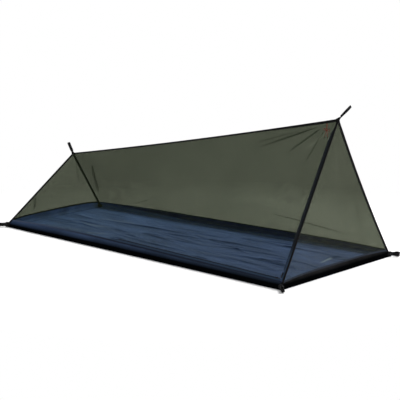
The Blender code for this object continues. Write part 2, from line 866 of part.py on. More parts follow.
hip_lower_end = SEAM_TAPE_WIDTH / 2 + 2 * CLEARANCE + hip_zip_offset * abs(hip_along.x)
hip_fixed = zip_half(
    "hip_zip_fixed_half", hip_lower_end, hip_run - HIP_ZIP_END,
    hip_zip_offset, hip_along, hip_inward, False,
)
combine(hip_fixed, [room["hip_binding_front_head"]])
sill_lower_end = hip_zip_offset + ZIP_CHAIN_GAP
zip_half(
    "sill_zip_fixed_half", sill_lower_end, sill_run - SILL_ZIP_END,
    sill_zip_offset, sill_along, sill_inward, False,
)
zip_half(
    "hip_zip_door_half", DOOR_ZIP_START, hip_run - HIP_DOOR_ZIP_END,
    hip_zip_offset, hip_along, hip_inward, True,
)
zip_half(
    "sill_zip_door_half", DOOR_ZIP_START, sill_run - SILL_DOOR_ZIP_END,
    sill_zip_offset, sill_along, sill_inward, True,
)


def chain_frame(run, offset, along, inward):
    # X along the zip away from the door's corner, Z out of the tent
    origin = door_frame @ (along * run + inward * offset)
    x = door_frame.to_3x3() @ along
    return frame_at(origin, x, door_outward.cross(x))


def slider(name, matrix):
    half_height = lane_height / 2 + SLIDER_PLATE
    body = block(name, (SLIDER_LENGTH, slider_width, 2 * half_height), matrix)
    soften(body, 0.0006, 2)
    lane = (lanes_width - SLIDER_WEB) / 2
    lane_middle = (lanes_width + SLIDER_WEB) / 4
    for turn in (-1, 1):
        lane_box = (2 * SLIDER_LENGTH, lane, lane_height)
        slot_box = (2 * SLIDER_LENGTH, slider_width, slot_height)
        combine(body, [
            as_cutter(block(f"{name}_lane_{turn}", lane_box, matrix, (0, turn * lane_middle, 0))),
            as_cutter(block(
                f"{name}_slot_{turn}", slot_box, matrix,
                (0, turn * (lane_middle + slider_width / 2), 0),
            )),
        ])
    bridge_height = BRIDGE_HEIGHT + SLIDER_PLATE / 2
    bridge = block(
        name + "_bridge", (BRIDGE_LENGTH, BRIDGE_WIDTH, bridge_height), matrix,
        (0, 0, half_height + BRIDGE_HEIGHT - bridge_height / 2),
    )
    soften(bridge, 0.0005, 2)
    combine(body, [as_cutter(bridge)], "UNION")
    eye_size = (
        BRIDGE_LENGTH - 2 * BRIDGE_WALL, 2 * BRIDGE_WIDTH, BRIDGE_HEIGHT - BRIDGE_WALL,
    )
    eye = block(
        name + "_eye", eye_size, matrix,
        (0, 0, half_height + (BRIDGE_HEIGHT - BRIDGE_WALL) / 2),
    )
    combine(body, [as_cutter(eye)])
    add_material(body, METAL_DARK, 0.35, 1.0)
    return half_height + (BRIDGE_HEIGHT - BRIDGE_WALL) / 2


def pull_tab(name, matrix, pin_height):
    # Two arms on a cross pin under the slider's bridge, then the tab, which lies towards -X
    hinge = matrix @ Matrix.Translation((0, 0, pin_height))
    arm_gap = BRIDGE_WIDTH + 4 * CLEARANCE
    arm_root = BRIDGE_LENGTH / 2 + PULL_ARM_LENGTH
    half = PULL_WIDTH / 2
    reach = PULL_PIN_RADIUS
    outline = [
        (reach, half), (-PULL_LENGTH * 0.9, half * 0.85), (-PULL_LENGTH, half * 0.45),
        (-PULL_LENGTH, -half * 0.45), (-PULL_LENGTH * 0.9, -half * 0.85), (reach, -half),
        (reach, -arm_gap / 2), (-arm_root, -arm_gap / 2), (-arm_root, arm_gap / 2),
        (reach, arm_gap / 2),
    ]
    obj = plate(name, [outline], PULL_THICKNESS, hinge)
    pin_turn = Matrix.Rotation(math.pi / 2, 4, "X")
    pin = cylinder(name + "_pin", PULL_PIN_RADIUS, PULL_WIDTH - 0.001, hinge @ pin_turn, 12)
    combine(obj, [as_cutter(pin)], "UNION")
    hole_at = Matrix.Translation((-PULL_LENGTH * 0.82, 0, 0))
    hole = cylinder(name + "_hole", PULL_HOLE_RADIUS, 0.01, hinge @ hole_at)
    combine(obj, [as_cutter(hole)])
    add_material(obj, METAL_DARK, 0.4, 1.0)
    print(name, "hinge", [round(c, 5) for c in hinge.translation],
          "axis", [round(c, 5) for c in hinge.col[1][:3]])


def zip_hardware(prefix, rest, end, run, offset, along, inward, chain_end):
    matrix = chain_frame(rest, offset, along, inward)
    pin_height = slider(prefix + "_zip_slider", matrix)
    pull_tab(prefix + "_zip_pull", matrix, pin_height)
    print(prefix, "slide axis", [round(c, 5) for c in matrix.col[0][:3]],
          "travel", round(run - end - rest, 4))
    stop_at = chain_frame(run - chain_end + CLEARANCE + STOP_LENGTH / 2, offset, along, inward)
    grip = 2 * (ZIP_CHAIN_RADIUS + STOP_GRIP)
    fixed_side = -1 if door_outward.cross(stop_at.col[0].to_3d()).dot(
        door_frame.to_3x3() @ inward) > 0 else 1
    stop = block(prefix + "_zip_stop", (STOP_LENGTH, grip, grip), stop_at,
                 (0, fixed_side * (ZIP_CHAIN_GAP / 2 + ZIP_CHAIN_RADIUS), 0))
    soften(stop, 0.0005, 2)
    add_material(stop, METAL_DARK, 0.4, 1.0)


zip_hardware("hip", HIP_SLIDER_REST, HIP_SLIDER_END, hip_run, hip_zip_offset,
             hip_along, hip_inward, HIP_ZIP_END)
zip_hardware("sill", SILL_SLIDER_REST, SILL_SLIDER_END, sill_run, sill_zip_offset,
             sill_along, sill_inward, SILL_ZIP_END)
fold_point = door_frame @ (heel_local + Vector((0, 0, NET_THICKNESS / 2 + 0.0002)))
print("door fold at", [round(c, 5) for c in fold_point],
      "axis", [round(c, 5) for c in door_frame.to_3x3() @ fold_along])

# Tie cord, knotted in a bow on a tab under the ridge binding

tie_u = (head_apex.x - TIE_FROM_HEAD - foot_apex.x) / (head_apex.x - foot_apex.x)
ridge_slope = (head_apex - foot_apex).normalized()
fold_angle = math.atan2(half_width(ridge(tie_u).x), ridge(tie_u).z)
tie_drop = TAPE_THICKNESS / 2 / math.sin(fold_angle) + 0.5 * TIE_TAB_THICKNESS / math.tan(fold_angle)
tie_top = ridge(tie_u) - up * (tie_drop + 2 * CLEARANCE)
tab_end = TIE_TAB_WIDTH / 2
tab_rise = tab_end * ridge_slope.z / ridge_slope.x
tab_outline = [
    (-tab_end, -TIE_TAB_LENGTH), (tab_end, -TIE_TAB_LENGTH), (tab_end, tab_rise), (-tab_end, -tab_rise),
]
tie_tab = plate(
    "tie_tab", [tab_outline], TIE_TAB_THICKNESS, frame_at(tie_top, Vector((1, 0, 0)), up)
)
add_material(tie_tab, TAPE_BLACK, 0.8)
knot_centre = ridge(tie_u) - up * TIE_DROP
strand_top = tie_top.z - TIE_TAB_LENGTH - CLEARANCE - knot_centre.z
knot_reach = TIE_KNOT_RADIUS + TIE_KNOT_GAP


def tie_knot():
    bm = bmesh.new()
    bmesh.ops.create_uvsphere(bm, u_segments=12, v_segments=8, radius=TIE_KNOT_RADIUS)
    obj = add_mesh("tie_knot", bm, Matrix.Translation(knot_centre))
    add_material(obj, CORD_MAROON, 0.8)


def tie_cord(name, route):
    points, length = smooth_route([knot_centre + Vector(place) for place in route], 0.0025)
    obj = tube(name, points, TIE_CORD_RADIUS)
    add_material(obj, CORD_MAROON, 0.85)
    tightest = min(bend_radius(*three) for three in zip(points, points[1:], points[2:]))
    print(name, "length", round(length, 4), "tightest bend", round(tightest, 4))
    return points


def tie_tip(name, points):
    along = (points[-1] - points[-2]).normalized()
    centre = points[-1] + along * (CLEARANCE + TIE_TIP_LENGTH / 2)
    matrix = along.to_track_quat("Z", "Y").to_matrix().to_4x4()
    matrix.translation = centre
    obj = cylinder(name, TIE_TIP_RADIUS, TIE_TIP_LENGTH, matrix, 12)
    add_material(obj, TAPE_BLACK, 0.5)


def strand_route(side):
    # Each strand spreads a little between the tab and the knot
    return (
        (side * 0.0016, 0, strand_top), (side * 0.0030, 0, lerp(strand_top, knot_reach, 0.3)),
        (side * 0.0032, 0, lerp(strand_top, knot_reach, 0.65)), (side * 0.0018, 0, knot_reach),
    )


def loop_route(side, lift):
    # Out of the knot's side, round a turn of about two cord widths and back
    return tuple((side * (knot_reach + x), y, z + lift * x) for x, y, z in (
        (0, 0, 0.0022), (0.0033, 0, 0.0056), (0.0071, 0.0004, 0.0077),
        (0.0111, 0.0008, 0.0071), (0.0135, 0.0010, 0.0034), (0.0123, 0.0010, -0.0008),
        (0.0087, 0.0008, -0.0030), (0.0043, 0.0004, -0.0026), (0.0001, 0, -0.0015),
    ))


def tail_route(places):
    # Each place is across, along the depth and down from the knot's underside
    return [(x, y, -knot_reach - down) for x, y, down in places]


tie_knot()
tail_left_route = tail_route((
    (-0.0018, 0, 0), (-0.0030, 0, 0.0036), (-0.0065, -0.0010, 0.0121),
    (-0.0100, -0.0015, 0.0211), (-0.0125, -0.0015, 0.0291),
))
tail_right_route = tail_route((
    (0.0018, 0, 0), (0.0045, -0.0020, 0.0036), (0.0090, -0.0055, 0.0081),
    (0.0110, -0.0070, 0.0136), (0.0098, -0.0060, 0.0191), (0.0080, -0.0040, 0.0256),
))
tie_tip("tie_tip_left", tie_cord("tie_tail_left", tail_left_route))
tie_tip("tie_tip_right", tie_cord("tie_tail_right", tail_right_route))
tie_cord("tie_loop_left", loop_route(-1, 0.10))
tie_cord("tie_loop_right", loop_route(1, -0.10))
tie_cord("tie_strand_left", strand_route(-1))
tie_cord("tie_strand_right", strand_route(1))
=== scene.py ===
# Looks for a lightweight one-person net tent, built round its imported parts.
# X runs towards the tall head end, -Y is the door side, Z is up, all in metres.
import math
import random

import bmesh
import bpy
from mathutils import Matrix, Vector, noise


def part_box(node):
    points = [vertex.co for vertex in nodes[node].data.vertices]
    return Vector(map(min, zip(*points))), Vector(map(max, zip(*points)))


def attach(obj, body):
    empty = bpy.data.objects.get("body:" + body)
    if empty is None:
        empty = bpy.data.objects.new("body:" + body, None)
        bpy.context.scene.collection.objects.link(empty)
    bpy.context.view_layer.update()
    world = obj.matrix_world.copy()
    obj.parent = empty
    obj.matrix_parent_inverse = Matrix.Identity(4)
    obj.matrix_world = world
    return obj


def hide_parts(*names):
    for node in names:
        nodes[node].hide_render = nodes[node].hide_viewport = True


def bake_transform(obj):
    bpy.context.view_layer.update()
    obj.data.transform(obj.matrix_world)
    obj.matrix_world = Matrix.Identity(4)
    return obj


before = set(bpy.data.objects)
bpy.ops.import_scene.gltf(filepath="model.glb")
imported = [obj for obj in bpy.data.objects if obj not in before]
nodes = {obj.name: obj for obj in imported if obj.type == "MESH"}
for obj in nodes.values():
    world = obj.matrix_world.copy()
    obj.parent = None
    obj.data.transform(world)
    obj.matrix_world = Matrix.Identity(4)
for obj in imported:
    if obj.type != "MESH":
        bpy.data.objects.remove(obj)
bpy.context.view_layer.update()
print("frame loaded:", len(nodes), "nodes")

# Camera, at the photograph's place
photoCamera = {"place": (5.254, -5.872, 1.813), "down": 11.28, "turn": 41.2, "lens": 130.4}


def newObject(name, data):
    made = bpy.data.objects.new(name, data)
    bpy.context.scene.collection.objects.link(made)
    return made


cameraData = bpy.data.cameras.new("photoCamera")
cameraData.sensor_width = 36
cameraData.lens = photoCamera["lens"]
cameraData.clip_end = 100
camera = newObject("photoCamera", cameraData)
camera.location = photoCamera["place"]
camera.rotation_euler = (
    math.radians(90 - photoCamera["down"]), 0, math.radians(photoCamera["turn"])
)
bpy.context.scene.camera = camera

# The tent's lines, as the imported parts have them
tent = {
    "floorLength": 2.10, "headWidth": 0.935, "footWidth": 0.763,
    "headHeight": 0.792, "footHeight": 0.409, "headLean": 0.013, "footLean": 0.164,
    "ridgeSag": 0.010, "headRearBow": 0.015,
    "cornerRise": 0.018, "wallHeight": 0.052, "wallEndHeight": 0.038, "wallFoot": 0.0013,
    "ridgeWing": 0.009, "hipWing": 0.008, "seamWidth": 0.010, "seamInset": 0.0055,
    "outlineWing": 0.015,
}
doorLines = {
    "sillLength": 1.25, "topInset": 0.080, "zipTape": 0.007, "chainRadius": 0.0011,
    "chainGap": 0.0012, "clearance": 0.0003,
}

up = Vector((0, 0, 1))
halfLength = tent["floorLength"] / 2
footApex = Vector((-halfLength + tent["footLean"], 0, tent["footHeight"]))
headApex = Vector((halfLength - tent["headLean"], 0, tent["headHeight"]))


def mix(a, b, t):
    return a + (b - a) * t


def smooth(t):
    t = max(0.0, min(1.0, t))
    return t * t * (3 - 2 * t)


def halfWidth(x):
    return mix(tent["footWidth"], tent["headWidth"], x / tent["floorLength"] + 0.5) / 2


def chord(u, side):
    x = mix(-halfLength, halfLength, u)
    return Vector((x, side * halfWidth(x), tent["cornerRise"]))


def ridge(u):
    return mix(footApex, headApex, u) - up * tent["ridgeSag"] * 4 * u * (1 - u)


def hipBow(u, side, v):
    pull = tent["headRearBow"] if side > 0 else 0
    return Vector((0, -pull * math.sin(math.pi * v) * max(0.0, u) ** 3, 0))


def sideSurface(u, side, v):
    return mix(chord(u, side), ridge(u), v) + hipBow(u, side, v)


def hip(end, side, v):
    return sideSurface((end + 1) / 2, side, v)


def wallTop(s):
    return mix(tent["wallEndHeight"], tent["wallHeight"], 1 - s ** 4)


def shareAtHeight(u, height):
    return (height - tent["cornerRise"]) / (ridge(u).z - tent["cornerRise"])


def longSeam(u, side):
    return sideSurface(u, side, shareAtHeight(u, wallTop(2 * u - 1)))


def frameAt(origin, xAxis, yAxis):
    x = xAxis.normalized()
    z = x.cross(yAxis).normalized()
    matrix = Matrix((x, z.cross(x), z)).transposed().to_4x4()
    matrix.translation = origin
    return matrix


def endAxes(end):
    apex = headApex if end > 0 else footApex
    middle = Vector((end * halfLength, 0, tent["cornerRise"]))
    return middle, apex, frameAt(middle, Vector((0, end, 0)), apex - middle)


def endOutward(end):
    return endAxes(end)[2].col[2].to_3d()


def endHalfWidth(end):
    return halfWidth(end * halfLength)


def endSeam(end, s):
    middle, apex, axes = endAxes(end)
    y = (wallTop(s) - tent["cornerRise"]) / axes.col[1].z
    reach = s * endHalfWidth(end) * (1 - y / (apex - middle).length)
    return axes @ Vector((reach, y, 0))


hipLength = (hip(1, -1, 1) - hip(1, -1, 0)).length
doorCorner = hip(1, -1, shareAtHeight(1, tent["wallEndHeight"]))
doorTop = hip(1, -1, 1 - doorLines["topInset"] / hipLength)
sillU = 1 - doorLines["sillLength"] / tent["floorLength"]
doorHeel = sideSurface(sillU, -1, shareAtHeight(sillU, tent["wallHeight"]))
doorAxes = frameAt(doorCorner, doorCorner - doorHeel, doorTop - doorCorner)
doorOutward = doorAxes.col[2].to_3d()
topLocal = doorAxes.inverted() @ doorTop
heelLocal = doorAxes.inverted() @ doorHeel
hipRun = topLocal.length
sillRun = heelLocal.length
hipAlong = topLocal.normalized()
hipInward = Vector((-hipAlong.y, hipAlong.x, 0))
sillAlong = Vector((-1, 0, 0))
sillInward = Vector((0, 1, 0))
foldAlong = (topLocal - heelLocal).normalized()
foldInward = Vector((foldAlong.y, -foldAlong.x, 0))
chainOffset = doorLines["zipTape"] + 2 * doorLines["chainRadius"] + doorLines["chainGap"] / 2
hipZipOffset = tent["hipWing"] + doorLines["clearance"] + chainOffset
sillZipOffset = tent["seamWidth"] / 2 + doorLines["clearance"] + chainOffset
hipZipEnd = hipRun - 0.007
sillZipEnd = sillRun - 0.012


def frontSeam(u):
    if u >= sillU:
        return mix(doorHeel, doorCorner, (u - sillU) / (1 - sillU))
    height = mix(tent["wallEndHeight"], tent["wallHeight"], 1 - (1 - u / sillU) ** 4)
    return sideSurface(u, -1, shareAtHeight(u, height))


def sideOutward(u, side, v):
    along = sideSurface(u + 0.01, side, v) - sideSurface(u - 0.01, side, v)
    upward = sideSurface(u, side, v + 0.01) - sideSurface(u, side, v - 0.01)
    return along.cross(upward).normalized() * -side


def inset(path, length):
    share = tent["seamInset"] / length
    return lambda t: path(mix(share, 1 - share, t))


print("tent lines set")

# Materials


def addNode(tree, kind, inputs=None, **settings):
    made = tree.nodes.new(kind)
    for key, value in settings.items():
        setattr(made, key, value)
    for key, value in (inputs or {}).items():
        if isinstance(value, bpy.types.NodeSocket):
            tree.links.new(value, made.inputs[key])
        else:
            made.inputs[key].default_value = value
    return made


def sums(tree, operation, a, b):
    return addNode(tree, "ShaderNodeMath", {0: a, 1: b}, operation=operation).outputs[0]


def spread(tree, value, low, high):
    return addNode(
        tree, "ShaderNodeMapRange", {"Value": value, "To Min": low, "To Max": high}
    ).outputs["Result"]


def scaled(tree, colour, value):
    return addNode(
        tree, "ShaderNodeVectorMath", {"Vector": colour, "Scale": value}, operation="SCALE"
    ).outputs["Vector"]


def ranged(tree, value, fromLow, fromHigh, low=0.0, high=1.0):
    return addNode(
        tree, "ShaderNodeMapRange",
        {"Value": value, "From Min": fromLow, "From Max": fromHigh, "To Min": low, "To Max": high},
    ).outputs["Result"]


def blendColour(tree, share, a, b):
    made = addNode(tree, "ShaderNodeMix", {0: share, 6: a, 7: b}, data_type="RGBA")
    return made.outputs[2]


def waves(tree, place, pitch, direction, distortion=0.0):
    return addNode(
        tree, "ShaderNodeTexWave",
        {"Vector": place, "Scale": 2 * math.pi / (20 * pitch), "Distortion": distortion},
        bands_direction=direction,
    ).outputs["Fac"]


def grain(tree, place, scale, detail=3.0):
    return addNode(
        tree, "ShaderNodeTexNoise", {"Vector": place, "Scale": scale, "Detail": detail}
    ).outputs["Fac"]


def flatPlace(tree):
    return addNode(tree, "ShaderNodeUVMap").outputs["UV"]


def objectPlace(tree):
    return addNode(tree, "ShaderNodeTexCoord").outputs["Object"]


def axisOf(tree, place, axis):
    return addNode(tree, "ShaderNodeSeparateXYZ", {0: place}).outputs[axis]


# The fold attribute: painted shade along folds above 0, painted highlight below 0
def paintedFoldShade(tree):
    return addNode(tree, "ShaderNodeAttribute", attribute_name="fold").outputs["Fac"]


def mixedShaders(tree, share, a, b):
    return addNode(
        tree, "ShaderNodeMixShader", {0: share, 1: a.outputs[0], 2: b.outputs[0]}
    )


def startMaterial(name, roughness, specular=0.5, others=None):
    material = bpy.data.materials.new(name)
    material.use_nodes = True
    tree = material.node_tree
    shader = tree.nodes["Principled BSDF"]
    shader.inputs["Roughness"].default_value = roughness
    shader.inputs["Specular IOR Level"].default_value = specular
    for key, value in (others or {}).items():
        shader.inputs[key].default_value = value
    return material, tree, shader


def paint(tree, shader, colour, roughness=None):
    tree.links.new(colour, shader.inputs["Base Color"])
    if roughness:
        tree.links.new(roughness, shader.inputs["Roughness"])


def addBump(tree, shader, height, strength, distance):
    bump = addNode(
        tree, "ShaderNodeBump", {"Height": height, "Strength": strength, "Distance": distance}
    )
    tree.links.new(bump.outputs["Normal"], shader.inputs["Normal"])


def netMaterial(name, look):
    # Fine black mesh: threads with open holes between them, closer where it lies in a fold as
    # painted shade, and paler beside the folds as a painted highlight
    material, tree, shader = startMaterial(name, 0.85, 0.02)
    uv, place, fold = flatPlace(tree), objectPlace(tree), paintedFoldShade(tree)
    weave = sums(
        tree, "MAXIMUM", waves(tree, uv, look["pitch"], "X"), waves(tree, uv, look["pitch"], "Y")
    )
    patches = spread(tree, grain(tree, place, 3.5), -look["patchy"], look["patchy"])
    cover = spread(tree, weave, look["leastCover"], look["mostCover"])
    lengthwise = ranged(
        tree, axisOf(tree, place, "X"), -0.9, 0.6, look["footCover"], look["headCover"]
    )
    # Painted shade: the net closes up where the fold shade is above 0 and opens where it is below
    for more in (patches, lengthwise, sums(tree, "MULTIPLY", fold, look["foldShadeCover"])):
        cover = sums(tree, "ADD", cover, more)
    held = addNode(tree, "ShaderNodeClamp", {"Value": cover, "Min": 0.05, "Max": 1.0}).outputs[0]
    tone = blendColour(tree, grain(tree, place, 9.0), look["thread"], look["threadPale"])
    # Painted highlight on the folds where the fold shade is below 0
    paint(tree, shader, blendColour(tree, ranged(tree, fold, 0.0, -1.0), tone, look["foldHighlight"]))
    addBump(tree, shader, weave, 0.4, 0.0003)
    clear = addNode(tree, "ShaderNodeBsdfTransparent", {"Color": look["passed"]})
    seen = mixedShaders(tree, held, clear, shader)
    # Light passes the net almost freely, so that the floor below isn't in its shade
    untinted = addNode(tree, "ShaderNodeBsdfTransparent")
    airy = mixedShaders(tree, look["shadeCover"], untinted, shader)
    path = addNode(tree, "ShaderNodeLightPath")
    final = mixedShaders(tree, path.outputs["Is Camera Ray"], airy, seen)
    tree.links.new(final.outputs[0], tree.nodes["Material Output"].inputs["Surface"])
    return material


def coatedMaterial(name, look):
    # Coated ripstop cloth: fine weave, a grid of thicker threads and streaks, with painted shade in
    # the furrows of its folds, a painted highlight on their crests, and painted shade by height on
    # the walls
    material, tree, shader = startMaterial(name, look["roughness"], look["specular"], {
        "Sheen Weight": look["sheen"], "Sheen Roughness": 0.4, "Sheen Tint": look["sheenTint"],
    })
    uv, place, fold = flatPlace(tree), objectPlace(tree), paintedFoldShade(tree)
    weave = sums(
        tree, "MULTIPLY",
        waves(tree, uv, look["weavePitch"], "X"), waves(tree, uv, look["weavePitch"], "Y"),
    )
    ribX, ribY = (
        sums(tree, "POWER", waves(tree, uv, look["ribPitch"], axis), 14.0) for axis in "XY"
    )
    ribs = sums(tree, "MAXIMUM", ribX, ribY)
    stretched = addNode(
        tree, "ShaderNodeMapping", {"Vector": place, "Scale": (2.6, 13.0, 9.0)}
    ).outputs[0]
    streaks = grain(tree, stretched, 1.0, 6.0)
    along, height = axisOf(tree, place, "X"), axisOf(tree, place, "Z")
    base = blendColour(tree, ranged(tree, along, -0.9, 0.9), look["footEnd"], look["headEnd"])
    sweep = ranged(tree, along, -0.95, -0.30, look["sweep"], 0.0)
    # By height: base below low and the end colours above high; on the walls' outside base is
    # painted shade at the ground, on their inside the end colours are painted shade
    shadeByHeight = ranged(tree, sums(tree, "SUBTRACT", height, sweep), look["low"], look["high"])
    base = blendColour(tree, shadeByHeight, look["base"], base)
    streaked = ranged(tree, streaks, 0.32, 0.68, 1 - look["streak"], 1 + look["streak"])
    base = scaled(tree, base, streaked)
    base = scaled(tree, base, spread(tree, ribs, 1.0, 1.0 + look["ribs"]))
    # Painted shade in the fold furrows and a painted highlight on their crests
    base = blendColour(tree, ranged(tree, fold, 0.0, -1.0), base, look["furrowShade"])
    base = blendColour(tree, ranged(tree, fold, 0.0, 1.0), base, look["crestHighlight"])
    paint(tree, shader, base, spread(
        tree, streaks, look["roughness"] - 0.1, look["roughness"] + 0.1
    ))
    crinkle = grain(tree, stretched, 6.0, 4.0)
    relief = sums(tree, "ADD", weave, sums(tree, "MULTIPLY", ribs, 1.5))
    relief = sums(tree, "ADD", relief, sums(tree, "MULTIPLY", crinkle, look["crinkle"]))
    addBump(tree, shader, relief, 0.3, 0.0002)
    return material


def tapeMaterial(name, look):
    # Ribbed tape: cross ribs from its weave, paler where its edges are rubbed, with painted shade
    # in the grooves between ribs and, where the look gives one, a painted highlight towards the
    # foot end
    material, tree, shader = startMaterial(name, 0.78, 0.08, {
        "Sheen Weight": look["sheen"], "Sheen Roughness": 0.5,
    })
    uv, place = flatPlace(tree), objectPlace(tree)
    ribs = waves(tree, uv, look["rib"], "X")
    cords = waves(tree, uv, look["cordPitch"], "Y")
    worn = grain(tree, place, 60.0, 4.0)
    base = blendColour(tree, worn, look["dark"], look["pale"])
    if "lowPale" in look:
        low = ranged(tree, axisOf(tree, place, "Z"), 0.20, 0.15)
        base = blendColour(tree, low, base, look["lowPale"])
    # Painted highlight, paler towards the foot end
    if "footHighlight" in look:
        footward = ranged(tree, axisOf(tree, place, "X"), -0.2, -0.8)
        base = blendColour(tree, footward, base, look["footHighlight"])
    # Painted shade in the grooves between the ribs
    shadedGrooves = sums(tree, "MULTIPLY", sums(tree, "SUBTRACT", 1.0, ribs), 0.5)
    paint(
        tree, shader, blendColour(tree, shadedGrooves, base, look["grooveShade"]),
        spread(tree, worn, 0.66, 0.9),
    )
    relief = sums(tree, "ADD", ribs, sums(tree, "MULTIPLY", cords, 0.6))
    addBump(tree, shader, relief, 0.5, look["depth"])
    return material


def threadMaterial(name, look):
    material, tree, shader = startMaterial(name, 0.55)
    twist = waves(tree, objectPlace(tree), 0.0006, "DIAGONAL", 1.0)
    # Painted shade, darker in the grooves of the twist
    paint(tree, shader, blendColour(tree, twist, look["dark"], look["pale"]))
    addBump(tree, shader, twist, 0.4, 0.0001)
    return material


def cordMaterial(name, look):
    # Braided cord: crossing strands, darker between them as painted shade, with a paler fleck
    material, tree, shader = startMaterial(name, 0.7)
    place = objectPlace(tree)
    lay = waves(tree, place, look["strand"], "DIAGONAL", 1.5)
    turned = addNode(tree, "ShaderNodeMapping", {"Vector": place, "Rotation": (0.6, 1.9, 0.4)})
    cross = waves(tree, turned.outputs[0], look["strand"], "DIAGONAL", 1.5)
    braid = sums(tree, "MAXIMUM", lay, cross)
    # Painted shade between the strands
    base = blendColour(tree, braid, look["dark"], look["pale"])
    fleck = spread(tree, grain(tree, place, 450.0), 0.0, 0.5)
    paint(tree, shader, blendColour(tree, fleck, base, look["fleck"]))
    addBump(tree, shader, braid, 0.6, 0.0003)
    return material


def metalMaterial(name, look):
    # Painted die-cast metal: dark coat, fine casting grain and brighter rubbed spots
    material, tree, shader = startMaterial(name, 0.5, 0.2, {"Metallic": 0.6})
    place = objectPlace(tree)
    cast = grain(tree, place, 900.0, 4.0)
    rubbed = ranged(tree, grain(tree, place, 160.0, 5.0), 0.55, 0.7)
    paint(
        tree, shader, blendColour(tree, rubbed, look["coat"], look["bare"]),
        spread(tree, cast, 0.3, 0.55),
    )
    addBump(tree, shader, cast, 0.25, 0.0001)
    return material


def plasticMaterial(name, look):
    # Moulded nylon: slight pitting and a satin surface
    material, tree, shader = startMaterial(name, 0.6, 0.15)
    pits = grain(tree, objectPlace(tree), 700.0, 2.0)
    paint(
        tree, shader, blendColour(tree, pits, look["dark"], look["pale"]),
        spread(tree, pits, 0.5, 0.7),
    )
    addBump(tree, shader, pits, 0.2, 0.0001)
    return material


# The fold values paint shade along the net's folds and a highlight beside them
sideNetLook = {
    "pitch": 0.0016, "leastCover": 0.340, "mostCover": 0.93, "patchy": 0.045, "foldShadeCover": 0.22,
    "footCover": 0.016, "headCover": -0.012,
    "shadeCover": 0.06, "passed": (0.95, 1.0, 0.86, 1), "thread": (0.006, 0.0085, 0.0038, 1),
    "threadPale": (0.009, 0.013, 0.006, 1), "foldHighlight": (0.07, 0.075, 0.06, 1),
}
footNetLook = dict(sideNetLook, leastCover=0.27, mostCover=0.86)
# Head-end net: the same black mesh with paler threads, a painted lit haze
headNetLitLook = dict(
    sideNetLook, thread=(0.017, 0.020, 0.012, 1), threadPale=(0.023, 0.026, 0.017, 1)
)
# The floor's fold colours are painted shade in the furrows and a painted highlight on the crests
floorLook = {
    "roughness": 0.55, "specular": 0.06, "sheen": 0.15, "sheenTint": (0.40, 0.60, 1.0, 1),
    "footEnd": (0.085, 0.152, 0.341, 1), "headEnd": (0.078, 0.120, 0.289, 1),
    "base": (0.076, 0.131, 0.315, 1), "furrowShade": (0.017, 0.035, 0.113, 1),
    "crestHighlight": (0.332, 0.410, 0.540, 1), "low": -0.02, "high": -0.01, "sweep": 0.0, "streak": 0.27,
    "ribs": 0.2, "crinkle": 14.0, "weavePitch": 0.0007, "ribPitch": 0.0055,
}
# Outside of the walls: navy above, with base near black towards the ground as painted shade
wallOuterLook = dict(
    floorLook, roughness=0.7, specular=0.0, sheen=0.0, footEnd=(0.036, 0.058, 0.112, 1),
    headEnd=(0.019, 0.028, 0.045, 1), base=(0.0010, 0.0012, 0.0014, 1), low=0.024, high=0.047,
    furrowShade=(0.002, 0.003, 0.006, 1), crestHighlight=(0.05, 0.06, 0.09, 1), streak=0.35, ribs=0.3,
    crinkle=8.0, sweep=-0.006,
)
endOuterLook = dict(
    wallOuterLook, footEnd=(0.015, 0.016, 0.018, 1), headEnd=(0.015, 0.015, 0.016, 1)
)
# Inside of the walls: the floor's lit blue low down, higher towards the foot end, and painted shade
# above it
wallInnerShadedLook = dict(
    wallOuterLook, footEnd=(0.011, 0.018, 0.113, 1), headEnd=(0.009, 0.016, 0.098, 1),
    base=(0.076, 0.138, 0.315, 1), low=0.001, high=0.012, sweep=0.034,
)
# Inside of the foot wall: a paler copy of the floor cloth, painted as lit
footInnerLitLook = dict(floorLook, footEnd=(0.116, 0.192, 0.375, 1), streak=0.25)
tapeLook = {
    "rib": 0.0009, "cordPitch": 0.0022, "depth": 0.0003, "sheen": 0.0,
    "dark": (0.0025, 0.0025, 0.003, 1), "pale": (0.006, 0.006, 0.007, 1),
    "grooveShade": (0.001, 0.001, 0.0012, 1),
}
webbingLook = dict(tapeLook, rib=0.0015, cordPitch=0.0030, depth=0.0006, sheen=0.02)
# Navy seam tape, with a painted highlight towards the foot end
navyTapeLook = dict(
    tapeLook, dark=(0.006, 0.011, 0.024, 1), pale=(0.010, 0.017, 0.036, 1),
    grooveShade=(0.003, 0.005, 0.012, 1), footHighlight=(0.050, 0.072, 0.125, 1),
)
slateTapeLook = dict(
    tapeLook, dark=(0.018, 0.024, 0.036, 1), pale=(0.028, 0.036, 0.052, 1),
    grooveShade=(0.009, 0.012, 0.018, 1),
)
zipTapeLook = dict(
    tapeLook, dark=(0.006, 0.009, 0.012, 1), pale=(0.011, 0.015, 0.020, 1),
    grooveShade=(0.004, 0.006, 0.008, 1), lowPale=(0.026, 0.048, 0.086, 1),
)

